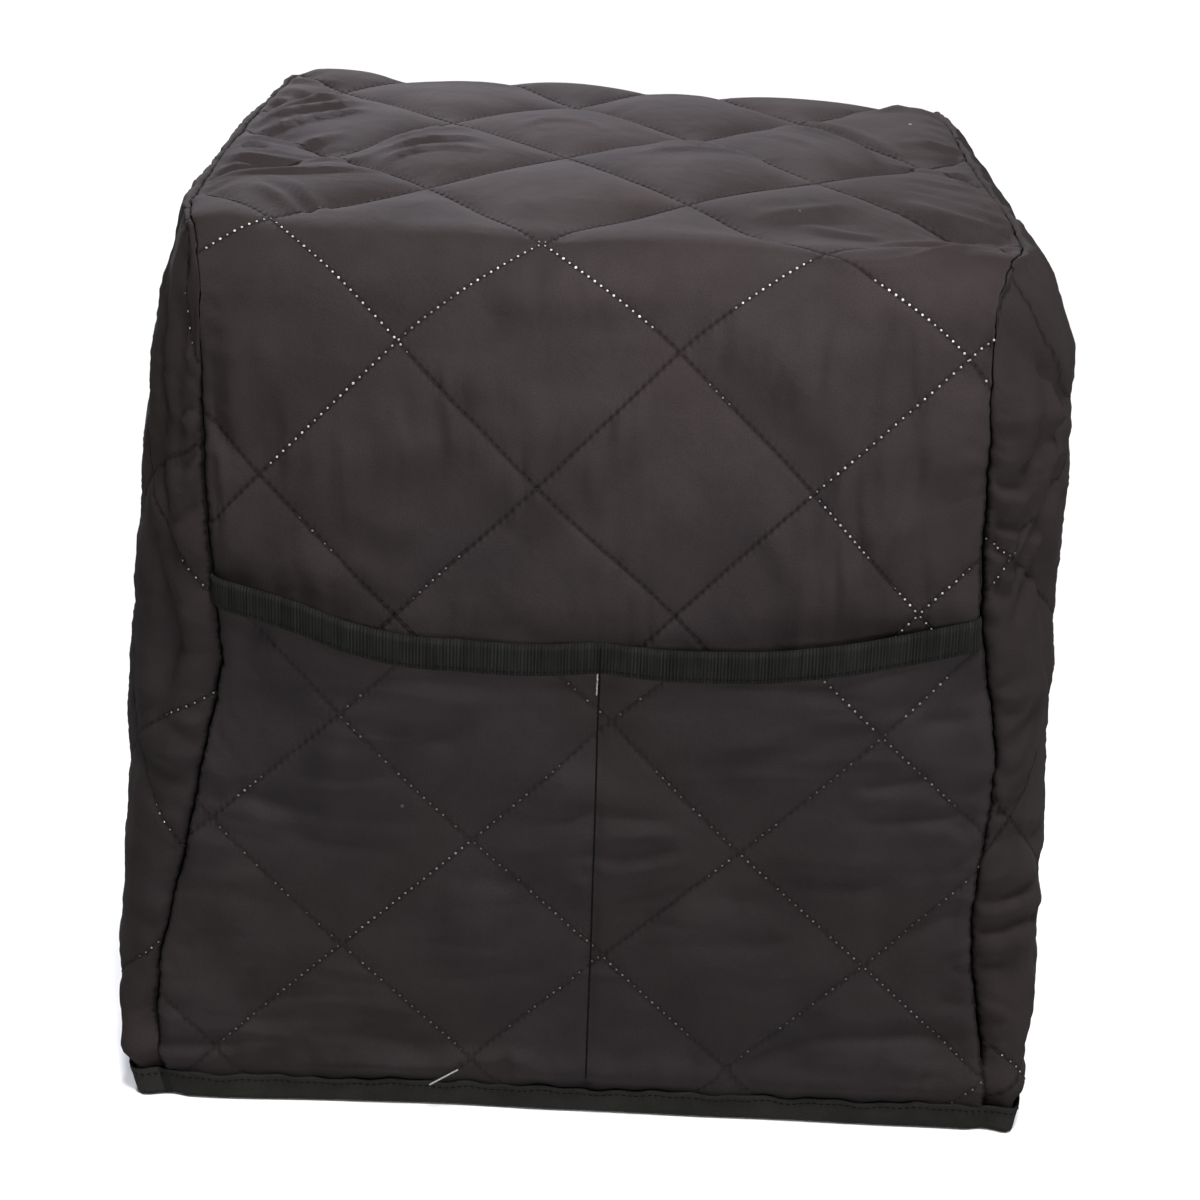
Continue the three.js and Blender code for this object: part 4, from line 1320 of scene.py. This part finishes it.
def stitch_panel(panel, name, holes, half_along, hole_size=1.0, lowest=-math.inf):
    """The thread of a panel's quilting, above the lowest row of the lattice that shows, and the pale lining
    of the holes that show, as two meshes."""
    sewn = panel.sewing(PITCH / math.hypot(SQUARE_ACROSS, half_along))
    sewn = sewn[sewn[:, 1] > lowest]
    uv, way = sewn[:, :2], sewn[:, 2:]
    place = panel.at(panel.outer, *uv.T)
    ahead = panel.at(panel.outer, *(uv + way * 0.4).T) - panel.at(panel.outer, *(uv - way * 0.4).T)
    out = unit(panel.at(panel.out, *uv.T))
    thread = new_mesh(name + "_thread", *scattered(THREAD, place + out * THREAD_LIFT, ahead, out))
    pale = shown(sewn, holes, 5)
    keep = pale > TOO_DARK
    spot = (uv[keep] + way[keep] * 0.5).T
    out = unit(panel.at(panel.out, *spot))
    sizes = np.random.default_rng(3).uniform(0.85, 1.15, keep.sum()) * hole_size * (0.7 + 0.3 * pale[keep])
    place = panel.at(panel.outer, *spot) + out * HOLE_LIFT
    points, triangles = scattered(HOLE, place, ahead[keep], out, sizes)
    marks = {"pale": np.repeat(pale[keep], len(HOLE[0]))}
    return [thread, new_mesh(name + "_holes", points, triangles, marks=marks)]


def stitch_row(name, shape, path, outs, pitch, lift):
    """A row of stitches: copies of one shape at even steps along a path, lifted off it along its outward
    directions."""
    run = np.concatenate([[0], np.cumsum(np.linalg.norm(np.diff(path, axis=0), axis=-1))])
    at = np.arange(pitch / 2, run[-1], pitch)
    read_at = lambda values, where: np.stack([np.interp(where, run, column) for column in values.T], -1)
    ways = read_at(path, at + pitch * 0.4) - read_at(path, at - pitch * 0.4)
    out = unit(read_at(outs, at))
    return new_mesh(name, *scattered(shape, read_at(path, at) + out * lift, ways, out))


def pocket_line(panel, across, along):
    """A line on the pocket's outer face, with its outward directions."""
    u, v = pocket_lattice(across, along)
    return panel.at(panel.outer, u, v), unit(panel.at(panel.out, u, v))


# ---------------------------------------------------------------- finishes


class Wire:
    """A node's output with arithmetic: each operator adds a Math node to the finish it belongs to."""

    def __init__(self, finish, socket):
        self.finish, self.socket = finish, socket

    def maths(self, operation, *values):
        return self.finish.node("ShaderNodeMath", {"operation": operation}, dict(enumerate(values)))

    def __add__(self, other):
        return self.maths("ADD", self, other)

    def __radd__(self, other):
        return self.maths("ADD", other, self)

    def __sub__(self, other):
        return self.maths("SUBTRACT", self, other)

    def __rsub__(self, other):
        return self.maths("SUBTRACT", other, self)

    def __mul__(self, other):
        return self.maths("MULTIPLY", self, other)

    def __rmul__(self, other):
        return self.maths("MULTIPLY", other, self)


class Finish:
    """A material made of nodes. node() makes every node: its settings first, then its sockets."""

    def __init__(self, name):
        self.material = bpy.data.materials.new(name)
        self.material.use_nodes = True
        self.tree = self.material.node_tree
        self.tree.nodes.clear()

    def node(self, kind, settings=None, inputs=None, out=0):
        """A node of a type, with its settings and the values or links of its sockets: one of its outputs."""
        made = self.tree.nodes.new(kind)
        for title, value in (settings or {}).items():
            if title == "stops":
                ramp = made.color_ramp.elements
                while len(ramp) < len(value):
                    ramp.new(0.5)
                for stop, (place, shade) in zip(ramp, value):
                    stop.position, stop.color = place, shade
            else:
                setattr(made, title, value)
        for key, value in (inputs or {}).items():
            if isinstance(value, Wire):
                self.tree.links.new(value.socket, made.inputs[key])
            else:
                made.inputs[key].default_value = value
        return Wire(self, made.outputs[out]) if len(made.outputs) else None

    def map(self, title):
        """One of the piece's UV maps."""
        return self.node("ShaderNodeUVMap", {"uv_map": title})

    def mark(self, title):
        """One of the piece's float attributes."""
        return self.node("ShaderNodeAttribute", {"attribute_name": title}, None, 2)

    def place(self):
        """Object coordinates."""
        return self.node("ShaderNodeTexCoord", None, None, 3)

    def part(self, vector, axis):
        """One coordinate of a vector."""
        return self.node("ShaderNodeSeparateXYZ", None, {0: vector}, axis)

    def noise(self, vector, scale, detail=2.0, roughness=0.5, distortion=0.0):
        """Cloudy noise from nought to one."""
        inputs = {"Scale": scale, "Detail": detail, "Roughness": roughness, "Distortion": distortion}
        return self.node("ShaderNodeTexNoise", None, {"Vector": vector, **inputs})

    def stretched(self, vector, scale):
        """A vector times a scale for each coordinate: a small one draws a pattern out along it."""
        return self.node("ShaderNodeMapping", None, {"Vector": vector, "Scale": scale})

    def blend(self, factor, a, b, kind="MIX"):
        """A colour between two by a factor, or the two blended some other way."""
        settings = {"data_type": "RGBA", "blend_type": kind}
        return self.node("ShaderNodeMix", settings, {0: factor, 6: a, 7: b}, 2)

    def tinted(self, colour, level):
        """A colour made lighter or darker by a level."""
        grey = self.node("ShaderNodeCombineXYZ", None, {0: level, 1: level, 2: level})
        return self.blend(1.0, colour, grey, "MULTIPLY")

    def clamp(self, value):
        """A value kept from nought to one."""
        return self.node("ShaderNodeClamp", None, {0: value})

    def remap(self, value, low, high, to_low=0.0, to_high=1.0):
        """A smooth step between two levels as a value goes from low to high."""
        settings = {"interpolation_type": "SMOOTHSTEP"}
        return self.node("ShaderNodeMapRange", settings, {0: value, 1: low, 2: high, 3: to_low, 4: to_high})

    def vary(self, noise, to_low, to_high):
        """The usual span of a noise spread between two levels."""
        return self.remap(noise, 0.3, 0.7, to_low, to_high)

    def sine(self, value):
        """The sine of a value in radians."""
        return self.node("ShaderNodeMath", {"operation": "SINE"}, {0: value})

    def bump(self, height):
        """A surface direction from a relief's height in millimetres."""
        return self.node("ShaderNodeBump", None, {"Height": height, "Distance": MM})

    def close(self, colour, roughness, normal, **constants):
        """The finished material, with plain numbers for its other sockets."""
        inputs = {"Base Color": colour, "Roughness": roughness, "Normal": normal, **constants}
        inputs = {k.replace("_", " "): v for k, v in inputs.items()}
        shader = self.node("ShaderNodeBsdfPrincipled", None, inputs)
        self.node("ShaderNodeOutputMaterial", None, {0: shader})
        return self.material


def shade(colour, factor=1.0):
    """A colour made lighter or darker, with full alpha."""
    return tuple(min(1.0, c * factor) for c in colour[:3]) + (1.0,)


PACKED_MATERIALS = {material["slot"]: material for material in frame["record"]["materials"]}
# The plain weave's threads, as radians to a metre, and the lint's colour.
WEAVE_WAVE = 2 * math.pi / 0.00085
LINT_COLOUR = (0.35, 0.34, 0.33, 1.0)


def slot_colour(slot, factor=0.55):
    """A packed material's own colour, darkened as the looks need it."""
    return [c * factor for c in PACKED_MATERIALS[slot]["base_color"][:3]]


def cloth_finish(name, colour, half_along, line_shade_strength, crease_way, creased):
    """Brushed polyester: a fine plain weave, soft crumples and creases, faint mottling, a few specks of
    lint, small puckers where each stitch of the quilting draws the cloth down, painted shade along the
    stitched lines, deepest at the needle holes, and ragged painted shade in the crease at seams. half_along
    is half a quilting square along the cloth, marked is how dark the painted shade on the stitched lines is,
    and the creases run by the stretch of crease_way and are as deep as creased."""
    f = Finish(name)
    cloth, lattice = f.map("cloth"), f.map("quilt")
    u, v = f.part(lattice, 0), f.part(lattice, 1)
    diagonal = math.hypot(SQUARE_ACROSS, half_along)
    apart = SQUARE_ACROSS * half_along / diagonal
    puckers, painted_line_shade = 0.0, 0.0
    for total, difference in ((u + v, u - v), (u - v, u + v)):
        signed = f.node("ShaderNodeMath", {"operation": "WRAP"}, {0: total, 1: 1.0, 2: -1.0}) * apart
        away = f.node("ShaderNodeMath", {"operation": "ABSOLUTE"}, {0: signed})
        phase = difference * (diagonal / 2 / PITCH * 2 * math.pi) + signed * 1.1
        at_hole = 0.5 - f.sine(phase + math.pi / 2) * 0.5
        beside, on_line = f.remap(away, 0.4, 3.4, 1.0, 0.0), f.remap(away, 0.2, 1.3, 1.0, 0.0)
        puckers = puckers - beside * at_hole * 0.3 - on_line * 0.3
        # Painted shade along each stitched line, darker at each needle hole, as strong as marked says.
        painted_line_shade = painted_line_shade + on_line * (0.2 + at_hole * 0.5) * line_shade_strength
    weave = f.sine(f.part(cloth, 0) * WEAVE_WAVE) * f.sine(f.part(cloth, 1) * WEAVE_WAVE)
    fuzz = f.noise(cloth, 1400.0, 2.0, 0.6)
    crumple = f.noise(cloth, 75.0, 3.0, 0.55, 0.3)
    drift = f.noise(cloth, 18.0, 2.0, 0.5)
    not_on_top = f.remap(f.part(cloth, 1), 0.34, 0.39, 1.0, 0.0)
    here_and_there = f.remap(f.noise(cloth, 13.0, 1.0), 0.42, 0.6)
    creases = f.noise(f.stretched(cloth, crease_way), 60.0, 1.0, 0.5, 0.25)
    creases = creases * not_on_top * here_and_there * creased
    normal = f.bump(weave * 0.03 + fuzz * 0.12 + crumple * 0.9 + drift * 1.6 + creases + puckers)
    mottle = f.vary(f.noise(cloth, 30.0, 4.0, 0.6), 0.9, 1.1) * f.vary(fuzz, 0.86, 1.12)
    # Painted shade in the crease at seams, made ragged like the shade of gathered cloth.
    ragged_gather_shade = f.noise(f.stretched(cloth, (0.35, 1.0, 1.0)), 420.0, 2.0, 0.6)
    painted_crease_shade = f.mark("in_seam") * (ragged_gather_shade * 1.4 + 0.3)
    # The cloth's level: random mottling, darkened by the painted shade on the stitched lines and in the seam
    # creases.
    level = mottle * (1 - painted_line_shade * 0.62) * (1 - f.remap(painted_crease_shade, 0.4, 0.8) * 0.65)
    cool = shade((colour[0] * 0.985, colour[1], colour[2] * 1.01))
    warm = shade((colour[0] * 1.02, colour[1], colour[2] * 0.985))
    base = f.blend(f.remap(f.noise(cloth, 9.0, 2.0, 0.5), 0.35, 0.65), cool, warm)
    lint_cells = f.node("ShaderNodeTexVoronoi", None, {"Vector": cloth, "Scale": 55.0, "Randomness": 1.0})
    lint_some = f.remap(f.noise(cloth, 21.0, 0.0), 0.62, 0.66, 0.0, 0.5)
    lint = f.remap(lint_cells, 0.03, 0.05, 1.0, 0.0) * lint_some
    return f.close(
        f.blend(lint, f.tinted(base, level), LINT_COLOUR),
        f.vary(fuzz, 0.84, 0.96),
        normal,
        Sheen_Weight=0.01,
        Sheen_Roughness=0.4,
        Specular_IOR_Level=0.01,
    )


def ribbon_finish(colour):
    """Grosgrain: round ribs side by side down its width, painted lighter on their crests and darker between
    them, and a fine woven edge.
    """
    f = Finish("grosgrain_ribbon")
    cloth = f.map("cloth")
    ribs = f.sine(f.part(cloth, 0) * (2 * math.pi / (RIB * MM)))
    uneven = f.remap(f.noise(f.stretched(cloth, (1.0, 0.05, 1.0)), 520.0, 2.0, 0.6), 0.35, 0.65, 0.84, 1.16)
    threads = f.sine(f.part(cloth, 1) * (2 * math.pi / 0.0007))
    fuzz = f.noise(cloth, 1800.0, 2.0, 0.6)
    patches = f.noise(cloth, 60.0, 3.0, 0.6)
    # Painted light on the ribs' crests and painted shade between them, with random patches and fuzz.
    level = f.vary(patches, 0.85, 1.18) * f.vary(fuzz, 0.82, 1.15) * uneven * (1 + ribs * 0.3)
    return f.close(
        f.tinted(shade(colour), level),
        f.vary(fuzz, 0.7, 0.85),
        f.bump(ribs * 0.12 + threads * 0.03 + fuzz * 0.12 + patches * 0.3),
        Sheen_Weight=0.01,
        Specular_IOR_Level=0.02,
    )


def tape_finish(colour):
    """Twill binding tape: slanting fine ribs, painted faintly lighter on their crests and darker between
    them, with a slightly dusty, matt face.
    """
    f = Finish("hem_binding_tape")
    cloth = f.map("cloth")
    slant = f.sine((f.part(cloth, 0) + f.part(cloth, 1) * 0.8) * (2 * math.pi / 0.0011))
    fuzz = f.noise(cloth, 1500.0, 2.0, 0.6)
    patches = f.noise(cloth, 45.0, 3.0, 0.6)
    # Faint painted light and shade across the slanting ribs, with random patches and fuzz.
    level = f.vary(patches, 0.85, 1.2) * f.vary(fuzz, 0.82, 1.15) * (1 + slant * 0.06)
    return f.close(
        f.tinted(shade(colour), level),
        f.vary(fuzz, 0.72, 0.88),
        f.bump(slant * 0.05 + fuzz * 0.12 + patches * 0.5),
        Sheen_Weight=0.01,
        Specular_IOR_Level=0.02,
    )


def thread_finish(name, colour):
    """Twisted thread: a fine grain in the shade of the thread."""
    f = Finish(name)
    grain = f.noise(f.place(), 2500.0, 2.0, 0.6)
    tint = f.tinted(shade(colour), f.vary(grain, 0.75, 1.15))
    return f.close(tint, f.vary(grain, 0.7, 0.9), f.bump(grain * 0.08), Specular_IOR_Level=0.06)


def hole_finish(name, dark, light):
    """Needle holes where the pale wadding shows: from the cloth's own shade to the wadding's, hole by
    hole."""
    f = Finish(name)
    grain = f.noise(f.place(), 2500.0, 2.0, 0.6)
    colour = f.blend(f.clamp(f.mark("pale") * f.vary(grain, 0.8, 1.1)), shade(dark), shade(light))
    return f.close(colour, f.vary(grain, 0.7, 0.9), f.bump(grain * 0.08), Specular_IOR_Level=0.1)


def floor_finish():
    """Pale matt paper, hardly mottled."""
    f = Finish("pale_floor")
    patches = f.noise(f.place(), 3.0, 2.0, 0.5)
    colour = f.blend(patches, (0.74, 0.74, 0.743, 1.0), (0.76, 0.76, 0.76, 1.0))
    return f.close(colour, f.vary(patches, 0.85, 0.95), f.bump(patches * 0.01))


# ---------------------------------------------------------------- the pieces together

quilted = cloth_finish(
    "quilted_polyester",
    slot_colour("quilted_cloth"),
    SQUARE_ALONG,
    line_shade_strength=1.0,
    crease_way=(1.0, 0.3, 1.0),
    creased=9.0,
)
# The side panels take the strip's own cloth colour painted darker as shade, since they face away from the
# light.
quilted_side = cloth_finish(
    "painted_shade_side_polyester",
    slot_colour("quilted_cloth", 0.47),
    SQUARE_ALONG,
    line_shade_strength=1.0,
    crease_way=(1.0, 0.5, 1.0),
    creased=5.0,
)
quilted_pocket = cloth_finish(
    "quilted_pocket_polyester",
    slot_colour("pocket_cloth", 0.61),
    POCKET_SQUARE_ALONG,
    line_shade_strength=0.35,
    crease_way=(0.25, 1.0, 1.0),
    creased=9.5,
)
grosgrain = ribbon_finish(slot_colour("ribbon"))
binding = tape_finish(slot_colour("hem_tape", 0.6))
dark_thread = thread_finish("quilting_thread", shade(slot_colour("quilted_cloth"), 0.75)[:3])
pale_lining = hole_finish("pale_needle_holes", slot_colour("quilted_cloth"), (0.66, 0.65, 0.64))
faint_lining = hole_finish("faint_needle_holes", slot_colour("quilted_cloth"), (0.33, 0.325, 0.32))
pale_thread = thread_finish("pale_thread", (0.3, 0.29, 0.28))
black_thread = thread_finish("black_thread", shade(slot_colour("ribbon"), 0.3)[:3])


def finished(obj, material, node):
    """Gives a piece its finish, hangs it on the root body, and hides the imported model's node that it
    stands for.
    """
    obj.data.materials.clear()
    obj.data.materials.append(material)
    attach(obj, "root")
    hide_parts(node)
    return obj


strip = make_strip()
strip_sheet = finished(strip.build(), quilted, "centre_strip")
# The strip's stitches start at this row of its lattice, because the pocket hides the ones below.
STITCHED_FROM = -3.4
strip_bits = stitch_panel(strip, "strip", STRIP_HOLES, SQUARE_ALONG, 1.1, STITCHED_FROM)
for piece, material in zip(strip_bits, (dark_thread, pale_lining)):
    finished(piece, material, "centre_strip")

side_sheets, side_bits = {}, {}
for side in ("left", "right"):
    panel = make_side(side)
    node = "side_panel_" + side
    side_sheets[side] = finished(panel.build(), quilted_side, node)
    side_bits[side] = stitch_panel(panel, "side_" + side, SIDE_HOLES[side], SQUARE_ALONG)
    for piece, material in zip(side_bits[side], (dark_thread, pale_lining)):
        finished(piece, material, node)

pocket = make_pocket()
pocket_sheet = finished(pocket.build(), quilted_pocket, "front_pocket")
pocket_bits = stitch_panel(pocket, "pocket", POCKET_HOLES, POCKET_SQUARE_ALONG, 1.15)
for piece, material in zip(pocket_bits, (dark_thread, faint_lining)):
    finished(piece, material, "front_pocket")

# Height along the front at which the ribbon's lower edge crosses the pocket's middle seam.
under_mouth = mouth_at(np.array([POCKET_SEAM_X]), np.array([MOUTH["along"].mean()]))[0] - RIBBON_WIDTH
seam_line = pocket_line(pocket, np.full(90, POCKET_SEAM_X), np.linspace(HEM_HEIGHT + 3, under_mouth - 1, 90))
seam_row = stitch_row("pocket_middle_stitches", CREASE_THREAD, *seam_line, pitch=2.6, lift=0.05)
finished(seam_row, black_thread, "front_pocket")
tack_high = np.linspace(under_mouth - 10, under_mouth - 1, 12)
tack_line = pocket_line(pocket, np.full(12, POCKET_SEAM_X - 0.9), tack_high)
back_tack = stitch_row("pocket_back_tack", TACK_THREAD, *tack_line, pitch=2.0, lift=0.5)
finished(back_tack, pale_thread, "front_pocket")
# A loose end of thread from the pocket's hem, stood off the cloth at its start and laid on it at its end.
loose_ends, loose_outs = pocket_line(pocket, np.array([-64.5, -53.5]), np.array([10.5, 16.5]))
loose_ends = loose_ends + loose_outs * np.array([[4.2], [1.0]])
loose_path = loose_ends[0] + (loose_ends[1] - loose_ends[0]) * np.linspace(0, 1, 24)[:, None]
loose_out = np.repeat(loose_outs[1:], 24, 0)
loose_end = stitch_row("loose_thread_end", LOOSE_THREAD, loose_path, loose_out, pitch=0.7, lift=0.5)
finished(loose_end, pale_thread, "front_pocket")
pocket_bits += [seam_row, back_tack, loose_end]

ribbon = make_ribbon()
finished(ribbon, grosgrain, "pocket_ribbon")


def ribbon_line(x, below):
    """A line on the ribbon's outer face, at distances below the mouth, with its outward directions."""
    along = mouth_at(x, np.full(x.shape, MOUTH["along"].mean())) - below
    path = strip_cloth(x, along, stand_off(x, along) + RIBBON_FAR)
    return path, facing_out(along)


edge_line = ribbon_line(np.linspace(-148, 145, 400), RIBBON_WIDTH - 1.6)
ribbon_row = stitch_row("ribbon_edge_stitches", SEAM_THREAD, *edge_line, pitch=2.6, lift=0.1)
bar_line = ribbon_line(np.full(30, POCKET_SEAM_X), np.linspace(1.5, RIBBON_WIDTH - 0.5, 30))
ribbon_tack = stitch_row("ribbon_bar_tack", SEAM_THREAD, *bar_line, pitch=1.1, lift=0.15)
ribbon_bits = [ribbon_row, ribbon_tack]
for piece in ribbon_bits:
    finished(piece, black_thread, "pocket_ribbon")

hem, hem_grid = make_hem()
finished(hem, binding, "hem_tape")
# The tape's stitches run round its outer face, at the third point of its section.
closed = np.concatenate([hem_grid, hem_grid[:1]])
hem_out = unit((closed[:, 2] - closed[:, 12]) * np.array([1, 1, 0]))
hem_row = stitch_row("hem_tape_stitches", SEAM_THREAD, closed[:, 2], hem_out, pitch=2.8, lift=0.1)
finished(hem_row, black_thread, "hem_tape")

# ---------------------------------------------------------------- floor, light and camera

bpy.ops.mesh.primitive_plane_add(size=14, location=(0, 0, 0))
floor = bpy.context.object
floor.name = "floor"
floor.data.materials.append(floor_finish())

world = bpy.data.worlds.new("pale_room")
bpy.context.scene.world = world
world.use_nodes = True
world.node_tree.nodes["Background"].inputs[0].default_value = (1, 1, 1, 1)
world.node_tree.nodes["Background"].inputs[1].default_value = 0.03


def soft_light(name, place, towards, cone, size, power, tint):
    """A soft round lamp at a place, facing another, whose beam fades towards its edge."""
    data = bpy.data.lights.new(name, "SPOT")
    data.spot_size, data.spot_blend, data.shadow_soft_size = math.radians(cone), 0.9, size
    data.energy, data.color = power, tint
    lamp = bpy.data.objects.new(name, data)
    bpy.context.scene.collection.objects.link(lamp)
    lamp.location = place
    lamp.rotation_euler = (Vector(towards) - Vector(place)).to_track_quat("-Z", "Y").to_euler()


sun = bpy.data.lights.new("wide_overhead", "SUN")
sun.energy, sun.angle = 4.35, math.radians(14)
sun_lamp = bpy.data.objects.new("wide_overhead", sun)
bpy.context.scene.collection.objects.link(sun_lamp)
sun_lamp.rotation_euler = Vector((-0.09, 0.14, -1)).to_track_quat("-Z", "Y").to_euler()
soft_light("from_behind", (-0.6, 1.95, 1.15), (-0.06, 0.17, 0.37), 21, 0.12, 560, (0.96, 0.98, 1.08))
soft_light("from_the_front", (0.9, -2.3, 1.1), (0.05, -0.12, 0.4), 14, 0.5, 650, (1.0, 1.0, 1.02))
soft_light("on_the_upper_front", (0.7, -2.3, 1.3), (0.06, -0.13, 0.43), 9, 0.1, 310, (1.0, 0.99, 1.03))

# The camera's place in the cover's own coordinates, its turns in radians and its lens in millimetres.
CAMERA_PLACE = np.array([22.83, -925.7, 625.87])
YAW, PITCH_DOWN, ROLL = 0.0249, 0.4073, 0.034
LENS = 76
ahead = Vector((0, math.cos(PITCH_DOWN), -math.sin(PITCH_DOWN)))
ahead.rotate(Matrix.Rotation(YAW, 3, "Z"))
right_hand = Vector((math.cos(YAW), math.sin(YAW), 0))
upward = right_hand.cross(ahead)
tilted_right = math.cos(ROLL) * right_hand + math.sin(ROLL) * upward
tilted_up = math.cos(ROLL) * upward - math.sin(ROLL) * right_hand
camera_data = bpy.data.cameras.new("camera")
camera_data.lens = LENS
camera_data.sensor_width = 36
camera = bpy.data.objects.new("camera", camera_data)
bpy.context.scene.collection.objects.link(camera)
turn = Matrix((tilted_right, tilted_up, -ahead)).transposed()
camera.matrix_world = Matrix.Translation((CAMERA_PLACE + ORIGIN) * MM) @ turn.to_4x4()
bpy.context.scene.camera = camera
bpy.context.scene.view_settings.view_transform = "Standard"
